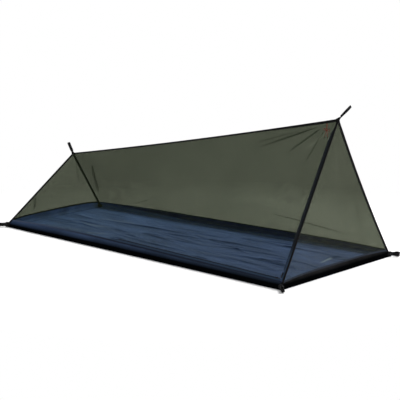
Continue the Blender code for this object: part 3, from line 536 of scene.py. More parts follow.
materials = {
    "sideNet": netMaterial("blackNet", sideNetLook),
    "headNet": netMaterial("headEndNet", headNetLitLook),
    "footNet": netMaterial("footEndNet", footNetLook),
    "floor": coatedMaterial("floorCloth", floorLook),
    "wallOuter": coatedMaterial("wallClothOutside", wallOuterLook),
    "wallInner": coatedMaterial("wallClothInside", wallInnerShadedLook),
    "footInnerLit": coatedMaterial("footWallInside", footInnerLitLook),
    "endOuter": coatedMaterial("endWallOutside", endOuterLook),
    "tape": tapeMaterial("bindingTape", tapeLook),
    "navyTape": tapeMaterial("navySeamTape", navyTapeLook),
    "slateTape": tapeMaterial("slateSeamTape", slateTapeLook),
    "zipTape": tapeMaterial("zipTape", zipTapeLook),
    "webbing": tapeMaterial("ribbedWebbing", webbingLook),
    "thread": threadMaterial(
        "blackThread", {"dark": (0.004, 0.004, 0.005, 1), "pale": (0.016, 0.016, 0.020, 1)}
    ),
    "cord": cordMaterial(
        "redBraidedCord",
        {
            "strand": 0.0011, "dark": (0.34, 0.014, 0.018, 1),
            "pale": (0.62, 0.030, 0.036, 1), "fleck": (0.66, 0.11, 0.09, 1),
        },
    ),
    "metal": metalMaterial(
        "darkZincAlloy", {"coat": (0.010, 0.011, 0.015, 1), "bare": (0.06, 0.062, 0.07, 1)}
    ),
    "nylon": plasticMaterial(
        "blackNylonCoil", {"dark": (0.004, 0.005, 0.008, 1), "pale": (0.009, 0.011, 0.016, 1)}
    ),
}
print("materials made:", len(materials))

# Shared builders


def nodeName(name):
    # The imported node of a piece: tie_tip_left for tieTipLeft
    return "".join("_" + letter.lower() if letter.isupper() else letter for letter in name)


def setPlace(piece, slot, body="tent", replaces=None):
    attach(piece, body)
    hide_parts(*(replaces or [nodeName(piece.name)]))


def addPiece(name, bm, materialNames, slot=None, recalc=False, **others):
    if recalc:
        bmesh.ops.recalc_face_normals(bm, faces=bm.faces[:])
    mesh = bpy.data.meshes.new(name)
    bm.to_mesh(mesh)
    bm.free()
    mesh.polygons.foreach_set("use_smooth", [True] * len(mesh.polygons))
    piece = newObject(name, mesh)
    for materialName in materialNames:
        mesh.materials.append(materials[materialName])
    if slot:
        setPlace(piece, slot, **others)
    return piece


def fillFlat(bm, flatPlaceOf):
    uvLayer = bm.loops.layers.uv.new("UVMap")
    for face in bm.faces:
        for loop in face.loops:
            loop[uvLayer].uv = flatPlaceOf(loop.vert)


def clothSheet(columns, rows, place):
    # A grid of cloth: place gives each point's position, flat position and fold shade
    bm = bmesh.new()
    bmesh.ops.create_grid(bm, x_segments=columns, y_segments=rows, size=0.5)
    foldShadeLayer = bm.verts.layers.float.new("fold")
    flat = {}
    for vertex in bm.verts:
        position, flat[vertex], vertex[foldShadeLayer] = place(vertex.co.x + 0.5, vertex.co.y + 0.5)
        vertex.co = position
    fillFlat(bm, lambda vertex: flat[vertex])
    return bm


def everyCorner(bm):
    return bm.verts[:] + bm.edges[:] + bm.faces[:]


def longEdges(bm, length):
    return [e for e in bm.edges if abs(e.verts[0].co.x - e.verts[1].co.x) > length / 2]


def stripBlank(length, low, high, thick, step, foldLines=()):
    # A flat strip along X from Y low to high, with rounded edges and its flat place as UV
    bm = bmesh.new()
    bmesh.ops.create_cube(bm, size=1)
    bmesh.ops.scale(bm, vec=(length, high - low, thick), verts=bm.verts)
    bmesh.ops.translate(bm, vec=(length / 2, (low + high) / 2, 0), verts=bm.verts)
    bmesh.ops.bevel(
        bm, geom=longEdges(bm, length), offset=thick * 0.4, segments=2, profile=0.5,
        affect="EDGES", material=-1,
    )
    for y in foldLines:
        bmesh.ops.bisect_plane(
            bm, geom=everyCorner(bm), plane_co=(0, y, 0), plane_no=(0, 1, 0), dist=0.00001
        )
    cuts = max(2, round(length / step))
    bmesh.ops.subdivide_edges(bm, edges=longEdges(bm, length), cuts=cuts, use_grid_fill=True)
    fillFlat(bm, lambda vertex: vertex.co.xy)
    return bm


def repeated(bm, count, offset):
    # The mesh in bm count times, each offset from the last
    mesh = bpy.data.meshes.new("repeated")
    bm.to_mesh(mesh)
    bm.free()
    holder = newObject("repeated", mesh)
    array = holder.modifiers.new("row", "ARRAY")
    array.count = count
    array.use_relative_offset = False
    array.use_constant_offset = True
    array.constant_offset_displace = offset
    bpy.context.view_layer.update()
    made = bpy.data.meshes.new_from_object(
        holder.evaluated_get(bpy.context.evaluated_depsgraph_get())
    )
    bpy.data.objects.remove(holder)
    bpy.data.meshes.remove(mesh)
    return made


def addRow(bm, unit, count, offset, start, material=1):
    # Adds count copies of a small mesh to bm, with their own material slot
    row = repeated(unit, count, offset)
    row.transform(Matrix.Translation(start))
    before = len(bm.faces)
    bm.from_mesh(row)
    bpy.data.meshes.remove(row)
    bm.faces.ensure_lookup_table()
    for face in bm.faces[before:]:
        face.material_index = material


def quarterTurn(bm, axis):
    matrix = Matrix.Rotation(math.pi / 2, 3, axis)
    bmesh.ops.rotate(bm, verts=bm.verts, cent=(0, 0, 0), matrix=matrix)


def stitch(length, width, height, turnAbout=None):
    bm = bmesh.new()
    bmesh.ops.create_icosphere(bm, subdivisions=1, radius=0.5)
    bmesh.ops.scale(bm, vec=(length, width, height), verts=bm.verts)
    if turnAbout:
        quarterTurn(bm, turnAbout)
    return bm


stitchLook = {"length": 0.0027, "thick": 0.0005, "pitch": 0.0034}


def stitchLine(bm, start, end, y, z):
    pitch, thick = stitchLook["pitch"], stitchLook["thick"]
    count = max(1, int((end - start) / pitch))
    unit = stitch(stitchLook["length"], thick, thick)
    addRow(bm, unit, count, (pitch, 0, 0), (start + pitch / 2, y, z))


def pathFrames(path, wings, outward, count=160):
    # Place, length so far, wing directions and their outward normals along a path
    rows = []
    run = 0.0
    for i in range(count + 1):
        t = i / count
        here = path(t)
        tangent = (path(min(1, t + 0.004)) - path(max(0, t - 0.004))).normalized()
        pair = [(w - tangent * w.dot(tangent)).normalized() for w in wings(t)]
        away = outward(t)
        normals = []
        for wing in pair:
            normal = tangent.cross(wing)
            normals.append(normal if normal.dot(away) > 0 else -normal)
        if rows:
            run += (here - rows[-1][0]).length
        rows.append((here, run, pair, normals))
    return rows


def mapAlong(bm, rows, roundOver=0.0016):
    # Bends flat strip places onto a path: X runs along it, Y across it and Z away from it
    total = rows[-1][1]
    even = len(rows) - 1
    for vertex in bm.verts:
        x, y, z = vertex.co
        spot = min(max(x / total, 0.0), 1.0) * even
        i = min(int(spot), even - 1)
        share = spot - i
        a, b = rows[i], rows[i + 1]
        k = 0 if y < 0 else 1
        wing = mix(a[2][k], b[2][k], share)
        normal = mix(a[3][k], b[3][k], share)
        middle = mix(a[3][0] + a[3][1], b[3][0] + b[3][1], share).normalized()
        normal = mix(middle, normal, smooth(abs(y) / roundOver)).normalized()
        vertex.co = mix(a[0], b[0], share) + wing * abs(y) + normal * z


def ripple(bm, across, lift, wave):
    # Small unevenness of a sewn strip, in its flat place
    for vertex in bm.verts:
        x, y, z = vertex.co
        vertex.co.y += across * noise.noise(Vector((x / wave, 3.1, 0)))
        vertex.co.z += lift * noise.noise(Vector((x / wave, y / 0.006, 7.7)))


print("builders ready")

# Cords of the tie under the ridge
tie = {
    "fromHead": 0.073, "drop": 0.049, "cordRadius": 0.0011, "knotReach": 0.0049,
    "knotCore": 0.0034, "knotTurn": 0.0033, "tipRadius": 0.0016, "tipLength": 0.0085,
    "gap": 0.0003, "tabThick": 0.0009, "tabSwell": 0.0006, "tabOverlap": 0.0008,
    "tabStitches": 5, "tabPitch": 0.0007,
}
tieU = (headApex.x - tie["fromHead"] - footApex.x) / (headApex.x - footApex.x)
knotCentre = ridge(tieU) - up * tie["drop"]
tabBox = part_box("tie_tab")
strandTop = tabBox[0].z - tie["gap"] - knotCentre.z
knotReach = tie["knotReach"]


def smoothRoute(route, spacing):
    ends = [2 * route[0] - route[1]] + list(route) + [2 * route[-1] - route[-2]]
    dense = []
    for before, start, stop, after in zip(ends, ends[1:], ends[2:], ends[3:]):
        for step in range(24):
            t = step / 24
            dense.append(0.5 * (
                2 * start + (stop - before) * t
                + (2 * before - 5 * start + 4 * stop - after) * t * t
                + (3 * start - before - 3 * stop + after) * t * t * t
            ))
    dense.append(route[-1])
    total = sum((b - a).length for a, b in zip(dense, dense[1:]))
    count = max(12, round(total / spacing))
    points, run = [], 0.0
    for a, b in zip(dense, dense[1:]):
        length = (b - a).length
        while len(points) < count and total * len(points) / count <= run + length:
            points.append(mix(a, b, (total * len(points) / count - run) / length))
        run += length
    return points + [dense[-1]], total


def strandRoute(side):
    return (
        (side * 0.0016, 0, strandTop), (side * 0.0030, 0, mix(strandTop, knotReach, 0.3)),
        (side * 0.0032, 0, mix(strandTop, knotReach, 0.65)), (side * 0.0018, 0, knotReach),
    )


def loopRoute(side, lift):
    return tuple((side * (knotReach + x), y, z + lift * x) for x, y, z in (
        (0, 0, 0.0022), (0.0033, 0, 0.0056), (0.0071, 0.0004, 0.0077),
        (0.0111, 0.0008, 0.0071), (0.0135, 0.0010, 0.0034), (0.0123, 0.0010, -0.0008),
        (0.0087, 0.0008, -0.0030), (0.0043, 0.0004, -0.0026), (0.0001, 0, -0.0015),
    ))


def tailRoute(places):
    return [(x, y, -knotReach - down) for x, y, down in places]


def tieCord(name, route):
    points, total = smoothRoute([knotCentre + Vector(place) for place in route], 0.0012)
    curve = bpy.data.curves.new(name, "CURVE")
    curve.dimensions = "3D"
    curve.bevel_depth = tie["cordRadius"]
    curve.bevel_resolution = 3
    curve.use_fill_caps = True
    spline = curve.splines.new("POLY")
    spline.points.add(len(points) - 1)
    for point, place in zip(spline.points, points):
        point.co = (*place, 1)
    spline.use_smooth = True
    piece = newObject(name, curve)
    curve.materials.append(materials["cord"])
    setPlace(piece, "cord")
    print(name, "length", round(total, 4))
    return piece, points


def tieTip(name, points):
    # A heat-shrunk sleeve over the cord's end, waisted where it grips
    along = (points[-1] - points[-2]).normalized()
    bm = bmesh.new()
    bmesh.ops.create_cone(
        bm, cap_ends=True, segments=16, radius1=tie["tipRadius"], radius2=tie["tipRadius"],
        depth=tie["tipLength"],
    )
    sides = [e for e in bm.edges if abs(e.verts[0].co.z - e.verts[1].co.z) > 0.001]
    bmesh.ops.subdivide_edges(bm, edges=sides, cuts=8, use_grid_fill=True)
    for vertex in bm.verts:
        share = vertex.co.z / tie["tipLength"]
        waist = 1 - 0.12 * math.cos(share * 9) ** 2 - 0.25 * smooth((abs(share) - 0.38) / 0.12)
        vertex.co.x *= waist
        vertex.co.y *= waist
    matrix = along.to_track_quat("Z", "Y").to_matrix().to_4x4()
    matrix.translation = points[-1] + along * (tie["gap"] + tie["tipLength"] / 2)
    bmesh.ops.transform(bm, matrix=matrix, verts=bm.verts)
    return addPiece(name, bm, ["nylon"], "cord_tip")


# Route, length, far end and lay of each cord
tieCords = {
    "tieStrandLeft": (strandRoute(-1), 0.0314, "knot", "taut"),
    "tieStrandRight": (strandRoute(1), 0.0314, "knot", "taut"),
    "tieTailLeft": (tailRoute((
        (-0.0018, 0, 0), (-0.0030, 0, 0.0036), (-0.0065, -0.0010, 0.0121),
        (-0.0100, -0.0015, 0.0211), (-0.0125, -0.0015, 0.0291),
    )), 0.0311, "fitting", "hanging"),
    "tieTailRight": (tailRoute((
        (0.0018, 0, 0), (0.0045, -0.0020, 0.0036), (0.0090, -0.0055, 0.0081),
        (0.0110, -0.0070, 0.0136), (0.0098, -0.0060, 0.0191), (0.0080, -0.0040, 0.0256),
    )), 0.0311, "fitting", "hanging"),
    "tieLoopLeft": (loopRoute(-1, 0.10), 0.0358, "knot", "hanging"),
    "tieLoopRight": (loopRoute(1, -0.10), 0.0352, "knot", "hanging"),
}
cords = {name: tieCord(name, plan[0]) for name, plan in tieCords.items()}
tips = {
    "tieTail" + side: [tieTip("tieTip" + side, cords["tieTail" + side][1])]
    for side in ("Left", "Right")
}


def tieKnot():
    # Four turns of cord drawn tight over a core
    bm = bmesh.new()
    bmesh.ops.create_uvsphere(bm, u_segments=20, v_segments=12, radius=tie["knotCore"])
    turns = ((0.0, 0.0, 0.0), (1.15, 0.35, 0.0), (-1.05, 0.3, 0.5), (0.2, 1.35, 0.2))
    for tiltX, tiltY, turn in turns:
        ring = bmesh.new()
        bmesh.ops.create_circle(ring, segments=10, radius=tie["cordRadius"])
        quarterTurn(ring, "X")
        bmesh.ops.translate(ring, vec=(tie["knotTurn"], 0, 0), verts=ring.verts)
        bmesh.ops.spin(
            ring, geom=ring.verts[:] + ring.edges[:], cent=(0, 0, 0), axis=(0, 0, 1),
            angle=2 * math.pi, steps=24, use_merge=True,
        )
        matrix = (
            Matrix.Rotation(turn, 4, "Z") @ Matrix.Rotation(tiltY, 4, "Y")
            @ Matrix.Rotation(tiltX, 4, "X")
        )
        bmesh.ops.transform(ring, matrix=matrix, verts=ring.verts)
        mesh = bpy.data.meshes.new("turn")
        ring.to_mesh(mesh)
        ring.free()
        bm.from_mesh(mesh)
        bpy.data.meshes.remove(mesh)
    bmesh.ops.translate(bm, vec=knotCentre, verts=bm.verts)
    addPiece("tieKnot", bm, ["cord"], "cord", recalc=True)


tieKnot()


def tieTab():
    # A folded ribbon sewn into the ridge seam
    low, high = tabBox
    width = high.x - low.x
    length = high.z - low.z + tie["tabOverlap"]
    bm = stripBlank(length, -width / 2, width / 2, tie["tabThick"], 0.0012)
    for vertex in bm.verts:
        x, y, z = vertex.co
        swell = tie["tabSwell"] * math.sin(math.pi * min(1, x / length)) * (1 if z > 0 else -1)
        vertex.co = Vector(((low.x + high.x) / 2 + y, z + swell, low.z + x))
    thick = stitchLook["thick"]
    addRow(
        bm, stitch(width * 0.8, thick, thick), tie["tabStitches"], (0, 0, tie["tabPitch"]),
        ((low.x + high.x) / 2, -0.0010, low.z + 0.0045),
    )
    addPiece("tieTab", bm, ["tape", "thread"], "binding_tape", True)


tieTab()
print("tie made")

# Net panels
netLook = {
    "cell": 0.009, "fan": 0.0022, "fanReach": 0.30, "fanSpacing": 0.21, "footFanShare": 0.7,
    "pucker": 0.0012, "puckerWave": 0.030, "puckerFrom": 0.006, "billow": 0.006,
    "edgeFade": 0.045, "heelFlat": 0.050, "topFlat": 0.030, "creaseSideShade": 0.4,
}
endNetLook = {
    "billow": 0.010, "billowFade": 0.06, "spoke": 0.0006, "spokeShade": 0.03, "spokes": 23,
    "gather": 0.0010, "gatherWave": 0.0046, "edgeFade": 0.04,
}
# Pull lines in the net: start, end, width, height and tone (painted shade above 0, painted
# highlight below)
frontCreases = [
    ((0.955, -0.010, 0.757), (0.480, -0.066, 0.567), 0.0085, 0.0034, 0.42),
    ((0.945, -0.022, 0.735), (0.755, -0.090, 0.585), 0.0075, 0.0030, 0.46),
    ((0.975, -0.026, 0.742), (0.900, -0.150, 0.500), 0.0065, 0.0024, 0.36),
    ((0.935, -0.013, 0.745), (0.640, -0.046, 0.632), 0.0060, 0.0024, 0.34),
    ((0.965, -0.016, 0.760), (0.690, -0.135, 0.520), 0.0070, 0.0020, 0.22),
    ((0.930, -0.008, 0.752), (0.400, -0.036, 0.570), 0.0080, 0.0020, 0.22),
    ((-0.820, -0.040, 0.370), (-0.640, -0.160, 0.230), 0.0060, 0.0016, 0.25),
]
rearCreases = [
    ((-0.815, 0.085, 0.338), (-0.990, 0.315, 0.090), 0.0075, 0.0036, 1.2),
    ((-0.835, 0.110, 0.310), (-0.995, 0.330, 0.075), 0.0060, 0.0028, 0.9),
    ((0.960, 0.030, 0.720), (0.700, 0.100, 0.560), 0.0060, 0.0022, -0.4),
    ((0.970, 0.060, 0.650), (0.860, 0.250, 0.340), 0.0060, 0.0018, -0.3),
    ((-0.560, 0.300, 0.110), (-0.760, 0.350, 0.050), 0.0060, 0.0020, 0.4),
    ((0.330, 0.336, 0.166), (0.930, 0.418, 0.086), 0.0060, 0.0018, 0.75),
]
footCreases = [
    ((-0.985, -0.215, 0.165), (-1.036, -0.180, 0.050), 0.0080, 0.0030, 1.0),
    ((-1.010, -0.284, 0.112), (-1.046, -0.346, 0.027), 0.0035, 0.0016, 0.8),
]


def pullLines(point, outward, creases):
    lift, shade = 0.0, 0.0
    for start, end, width, height, tone in creases:
        arm = point - Vector(start)
        along = Vector(end) - Vector(start)
        length = along.length
        along /= length
        run = arm.dot(along) / length
        if not 0 < run < 1:
            continue
        off = arm.dot(outward.cross(along)) / (width * (0.6 + 0.8 * run))
        if abs(off) > 3:
            continue
        bell = math.exp(-off * off) * smooth(run / 0.12) * smooth((1 - run) / 0.5)
        lift += height * bell
        # Painted shade along each crease, darker on one side and with a painted highlight on the
        # other
        shade += (tone + netLook["creaseSideShade"] * off) * bell
    return lift, shade


def fanLines(point, apex, sign):
    arm = point - apex
    reach = arm.length
    if reach < 0.004:
        return 0.0
    angle = math.atan2(-arm.z, abs(arm.x) + 0.2 * abs(arm.y))
    swell = reach / netLook["fanReach"] * math.exp(1 - reach / netLook["fanReach"])
    return netLook["fan"] * swell * math.sin(2 * math.pi * angle / netLook["fanSpacing"] + sign)


def netPoint(base, outward, edges, creases, seed):
    # edges are the distances to the sewn edges, in metres, each less its tape's width
    near = max(0.0, min(edges))
    fade = smooth(near / netLook["edgeFade"])
    lift, shade = pullLines(base, outward, creases)
    footFan = netLook["footFanShare"] * fanLines(base, footApex, seed + 1)
    lift += fanLines(base, headApex, seed) + footFan
    lift += netLook["billow"] * noise.noise(base * 3.1 + Vector((seed, 0, 0)))
    lift *= fade
    gather = math.sin(2 * math.pi * base.x / netLook["puckerWave"] + 2 * noise.noise(base * 6))
    gather *= netLook["pucker"] * smooth(near / netLook["puckerFrom"])
    lift += gather * smooth(1 - near / netLook["edgeFade"])
    return base + outward * lift, max(-1.0, min(1.0, shade * fade))


def hipDistances(u):
    # Roughly how far the hips' tapes are from a point of a long side, foot end first
    length = tent["floorLength"]
    return u * length * 0.75 - tent["outlineWing"], (1 - u) * length * 0.9 - tent["outlineWing"]


doorRows, fixedRows = 44, 78


def sidePlace(s, t):
    # Rows up to doorRows fan out from the door's heel over the door, the rest reach the ridge
    u = s
    row = t * (doorRows + fixedRows)
    low, top = frontSeam(u), ridge(u)
    if u > sillU:
        share = (u - sillU) / (1 - sillU)
        fold = doorAxes @ mix(heelLocal, topLocal, share)
        if row <= doorRows:
            base = mix(low, fold, row / doorRows)
            outward = doorOutward
        else:
            base = mix(fold, top, (row - doorRows) / fixedRows)
            outward = sideOutward(u, -1, 0.5)
    else:
        base = mix(low, top, max(0.0, row - doorRows) / fixedRows)
        outward = sideOutward(u, -1, 0.5)
    alongHip = (base - low).length
    edges = (
        (top - base).length - tent["ridgeWing"], alongHip * 0.9 - tent["seamWidth"] / 2,
        *hipDistances(u),
        (base - doorHeel).length - netLook["heelFlat"],
        (base - doorTop).length - netLook["topFlat"],
    )
    if u > sillU:
        local = doorAxes.inverted() @ base
        edges += (
            local.dot(hipInward) - hipZipOffset - chainOffset,
            local.y - sillZipOffset - chainOffset,
        )
    position, shade = netPoint(base, outward, edges, frontCreases, 0.0)
    return position, (base.x, alongHip), shade


def makeSideNet():
    columns = round(tent["floorLength"] / netLook["cell"])
    bm = clothSheet(columns, doorRows + fixedRows, sidePlace)
    bmesh.ops.remove_doubles(bm, verts=bm.verts, dist=0.00002)
    inverse = doorAxes.inverted()
    under = 0.0006

    def onDoor(face):
        local = inverse @ face.calc_center_median()
        return (local - heelLocal).dot(foldInward) > 0

    cuts = (
        (hipInward, hipZipOffset + under), (sillInward, sillZipOffset + under),
        (hipAlong, hipZipEnd), (sillAlong, sillZipEnd),
    )
    for normal, offset in cuts:
        faces = [f for f in bm.faces if onDoor(f)]
        edges = list({e for f in faces for e in f.edges})
        verts = list({v for f in faces for v in f.verts})
        bmesh.ops.bisect_plane(
            bm, geom=verts + edges + faces,
            plane_co=doorAxes @ (normal * offset),
            plane_no=doorAxes.to_3x3() @ normal, dist=0.00001,
        )

    def outside(face):
        local = inverse @ face.calc_center_median()
        pastHip = local.dot(hipInward) < hipZipOffset + under and local.dot(hipAlong) < hipZipEnd
        pastSill = local.y < sillZipOffset + under and -local.x < sillZipEnd
        return onDoor(face) and (pastHip or pastSill)

    away = [f for f in bm.faces if outside(f)]
    bmesh.ops.delete(bm, geom=away, context="FACES")
    piece = addPiece("sideNet", bm, ["sideNet"])
    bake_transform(piece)
    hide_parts("front_panel", "door_panel")
    return piece


def rearPlace(u, t):
    low = longSeam(u, 1)
    start = shareAtHeight(u, wallTop(2 * u - 1))
    base = sideSurface(u, 1, mix(start, 1, t))
    outward = sideOutward(u, 1, mix(start, 1, t))
    edges = (
        (ridge(u) - base).length - tent["ridgeWing"], (base - low).length - tent["seamWidth"] / 2,
        *hipDistances(u),
    )
    position, shade = netPoint(base, outward, edges, rearCreases, 2.0)
    return position, (base.x, (base - low).length), shade


def endPlace(end):
    apex, outward = endAxes(end)[1], endOutward(end)

    def place(s, t):
        across = 2 * s - 1
        low = endSeam(end, across)
        side = across * end
        share = (low.z - tent["cornerRise"]) / (apex.z - tent["cornerRise"])
        v = mix(share, 1, t)
        left, right = hip(end, -end, v), hip(end, end, v)
        base = mix(left, right, s)
        width = (right - left).length
        near = max(0.0, min(
            (base - low).length - tent["seamWidth"] / 2, width * s * 0.8 - tent["outlineWing"],
            width * (1 - s) * 0.8 - tent["outlineWing"],
        ))
        fade = smooth(near / endNetLook["edgeFade"])
        lift = endNetLook["billow"] * noise.noise(base * 2.7 + Vector((0, 0, 5 * end)))
        lift *= smooth(near / endNetLook["billowFade"])
        spokes = endNetLook["spokes"] * math.atan2(side * width, max(0.02, (apex - base).length))
        lift += endNetLook["spoke"] * math.sin(spokes) * fade
        gather = endNetLook["gather"] * math.sin(base.y / endNetLook["gatherWave"])
        gather *= smooth(near / netLook["puckerFrom"])
        lift += gather * smooth(1 - near / endNetLook["edgeFade"])
        # Painted shade and highlight along the radial folds, set off from their ridges
        shade = endNetLook["spokeShade"] * math.sin(spokes + 1.2) * fade
        if end < 0:
            pulled, toned = pullLines(base, outward, footCreases)
            lift, shade = lift + pulled, shade + toned
        return base + outward * lift, (base.y, (base - low).length), shade

    return place


sideNet = makeSideNet()
rearNet = addPiece(
    "rearNet", clothSheet(round(tent["floorLength"] / netLook["cell"]), 96, rearPlace),
    ["sideNet"], "net", replaces=["rear_panel"],
)
headNet = addPiece(
    "headNet", clothSheet(84, 84, endPlace(1)), ["headNet"], "net", replaces=["head_panel"]
)
footNet = addPiece(
    "footNet", clothSheet(70, 52, endPlace(-1)), ["footNet"], "net", replaces=["foot_panel"]
)
print("net panels made")

# Floor and bathtub walls
# Random floor folds, each with painted shade on one side and a painted highlight on the other
floorFolds = {
    "columns": 300, "rows": 240, "count": 140, "seed": 11, "length": (0.10, 0.34),
    "width": (0.0045, 0.010), "height": 0.0050, "heightShare": (0.3, 1.0), "turn": 0.10,
    "swell": 0.0040, "edge": 0.03, "tone": 260, "shadeShift": 0.3, "dark": 1.05, "pale": 0.45,
    "rest": 0.0014,
}
# Creases seen one by one: start, end, width, height and tone (painted highlight above 0, painted
# shade below); the first is a painted glint
floorCreases = [
    ((0.868, 0.100), (0.832, 0.265), 0.0060, 0.0036, 1.9),
    ((0.850, 0.225), (0.832, 0.300), 0.012, 0.0030, -1.6),
    ((0.560, -0.050), (0.760, 0.010), 0.014, 0.0040, -0.8),
    ((-0.600, -0.192), (-0.450, -0.140), 0.007, 0.0036, 1.0),
    ((-0.960, -0.212), (-0.560, -0.165), 0.008, 0.0035, 0.55),
    ((-0.900, -0.060), (-0.560, -0.020), 0.013, 0.0040, 0.5),
    ((-0.800, 0.120), (-0.420, 0.160), 0.015, 0.0045, 0.4),
    ((-0.350, 0.020), (0.020, -0.060), 0.014, 0.0045, -0.9),
    ((0.050, 0.140), (0.330, 0.150), 0.016, 0.0045, -0.9),
]


def makeFloor():
    draw = random.Random(floorFolds["seed"])
    folds = []
    for _ in range(floorFolds["count"]):
        x = draw.uniform(-1.0, 1.0)
        y = draw.uniform(-0.42, 0.42)
        length = draw.uniform(*floorFolds["length"])
        turn = draw.gauss(0.0, floorFolds["turn"]) + 0.12 * y - 0.05
        width = draw.uniform(*floorFolds["width"])
        height = floorFolds["height"] * draw.uniform(*floorFolds["heightShare"])
        height *= draw.choice((-0.5, 1, 1))
        folds.append((x, y, math.cos(turn), math.sin(turn), length, width, height))
    creases = [((*a, 0), (*b, 0), *others) for a, b, *others in floorCreases]

    def place(s, t):
        x = mix(-halfLength, halfLength, s)
        y = (2 * t - 1) * (halfWidth(x) - 0.0006)
        edge = min(halfLength - abs(x), halfWidth(x) - abs(y))
        lift = floorFolds["swell"] * (0.5 + noise.noise(Vector((x * 2.2, y * 5.0, 1.7))))
        pulled, shade = pullLines(Vector((x, y, 0)), up, creases)
        lift += pulled
        for fx, fy, cosine, sine, length, width, height in folds:
            dx = x - fx
            if abs(dx) > length:
                continue
            dy = y - fy
            run = (dx * cosine + dy * sine) / length
            off = (-dx * sine + dy * cosine) / width
            if abs(run) < 1 and abs(off) < 2.6:
                bell = math.exp(-off * off) * (1 - run * run) ** 2
                lift += height * bell
                # Painted shade on one side of the fold and a painted highlight on the other
                tone = height * floorFolds["tone"] * (off - floorFolds["shadeShift"]) * bell
                shade += tone * floorFolds["dark" if tone < 0 else "pale"]
        fade = smooth(edge / floorFolds["edge"])
        shade = max(-1.0, min(1.0, shade * fade))
        return Vector((x, y, floorFolds["rest"] + max(0.0, lift) * fade)), (x, y), shade

    bm = clothSheet(floorFolds["columns"], floorFolds["rows"], place)
    return addPiece("floorCloth", bm, ["floor"], "floor_fabric", replaces=["floor_panel"])


floorCloth = makeFloor()


def wallProfile(chordPoint, seamPoint, v):
    # Upright from the ground, round the turn, then sloping to the seam
    if v > 0.5:
        return mix(chordPoint, seamPoint, (v - 0.5) / 0.5)
    ground = chordPoint.copy()
    ground.z = tent["wallFoot"]
    return mix(ground, chordPoint, v / 0.5)


def endChord(end):
    x = end * halfLength
    return lambda u: Vector((x, (2 * u - 1) * end * endHalfWidth(end), tent["cornerRise"]))


def endSeamLine(end):
    return lambda u: endSeam(end, 2 * u - 1)


def rearSeam(u):
    return longSeam(u, 1)


# Base line, seam line, outward direction, length, outer cloth and inner cloth of each wall
wallPlans = {
    "front": (
        lambda u: chord(u, -1), frontSeam, (0, -1, 0), tent["floorLength"], "wallOuter", "wallInner"
    ),
    "rear": (
        lambda u: chord(u, 1), rearSeam, (0, 1, 0), tent["floorLength"], "wallOuter", "wallInner"
    ),
    "head": (
        endChord(1), endSeamLine(1), (1, 0, 0), tent["headWidth"], "endOuter", "wallInner"
    ),
    "foot": (
        endChord(-1), endSeamLine(-1), (-1, 0, 0), tent["footWidth"], "wallOuter", "footInnerLit"
    ),
}
wallFolds = {
    "cell": 0.008, "lean": 0.0022, "pucker": 0.0011, "wave": 0.034, "slack": 0.0016,
    "endFade": 0.02, "thick": 0.0006, "flatHeight": 0.055,
}


def makeWall(sideName):
    chordAt, seamAt, away, length, outerName, innerName = wallPlans[sideName]
    name = sideName + "Wall"
    outward = Vector(away)

    def place(s, t):
        u = mix(0.004, 0.996, s)
        point = wallProfile(chordAt(u), seamAt(u), t)
        run = s * length
        bulge = wallFolds["lean"] * math.sin(math.pi * t) * (
            0.6 + noise.noise(Vector((run * 5, t * 1.5, len(name))))
        )
        gather = wallFolds["pucker"] * t * math.sin(
            2 * math.pi * run / wallFolds["wave"] + 2.5 * noise.noise(Vector((run * 9, 0, 3)))
        ) * smooth((0.86 - t) / 0.2)
        slack = wallFolds["slack"] * noise.noise(Vector((run * 16 + 4 * t, t * 3, 9)))
        lift = bulge + gather + slack * math.sin(math.pi * t)
        ends = smooth(min(s, 1 - s) / wallFolds["endFade"])
        return point + outward * lift * ends, (run, t * wallFolds["flatHeight"]), 0.0

    bm = clothSheet(round(length / wallFolds["cell"]), 14, place)
    bmesh.ops.recalc_face_normals(bm, faces=bm.faces[:])
    bm.normal_update()
    if sum(f.normal.dot(outward) for f in bm.faces) < 0:
        bmesh.ops.reverse_faces(bm, faces=bm.faces[:])
    piece = addPiece(name, bm, [outerName, innerName], "wall_fabric")
    thickness = piece.modifiers.new("thickness", "SOLIDIFY")
    thickness.thickness = wallFolds["thick"]
    thickness.offset = 0
    thickness.material_offset = 1
    return piece


walls = {name: makeWall(name) for name in wallPlans}
print("floor and walls made")

# Binding tapes and seam tapes
tapeShapes = {
    "folded": {
        "thick": 0.0017, "folds": (-0.0012, 0.0, 0.0012), "stitchInset": 0.0018,
        "stitchLift": 0.00088, "ends": 0.010, "ripple": (0.0003, 0.00025, 0.03),
    },
    "flat": {
        "thick": 0.0016, "folds": (0.0,), "stitchInset": 0.0014, "stitchLift": 0.00082,
        "ends": 0.012, "ripple": (0.0004, 0.0003, 0.025),
    },
}
tapeStep = 0.012


def tapeBlank(kind, length, half):
    shape = tapeShapes[kind]
    bm = stripBlank(length, -half, half, shape["thick"], tapeStep, shape["folds"])
    seam = half - shape["stitchInset"]
    for y in (-seam, seam):
        stitchLine(bm, shape["ends"], length - shape["ends"], y, shape["stitchLift"])
    ripple(bm, *shape["ripple"])
    return bm


def ridgeWings(t):
    return [sideSurface(t, side, 0.98) - ridge(t) for side in (-1, 1)]


def hipWings(end, side):
    inward = Vector((0, -side, 0))
    if (end, side) == (1, -1):
        across = doorAxes.to_3x3() @ hipInward
        return lambda t: (across, inward)
    start = (end + 1) / 2
    return lambda t: (sideSurface(start - end * 0.02, side, t) - hip(end, side, t), inward)


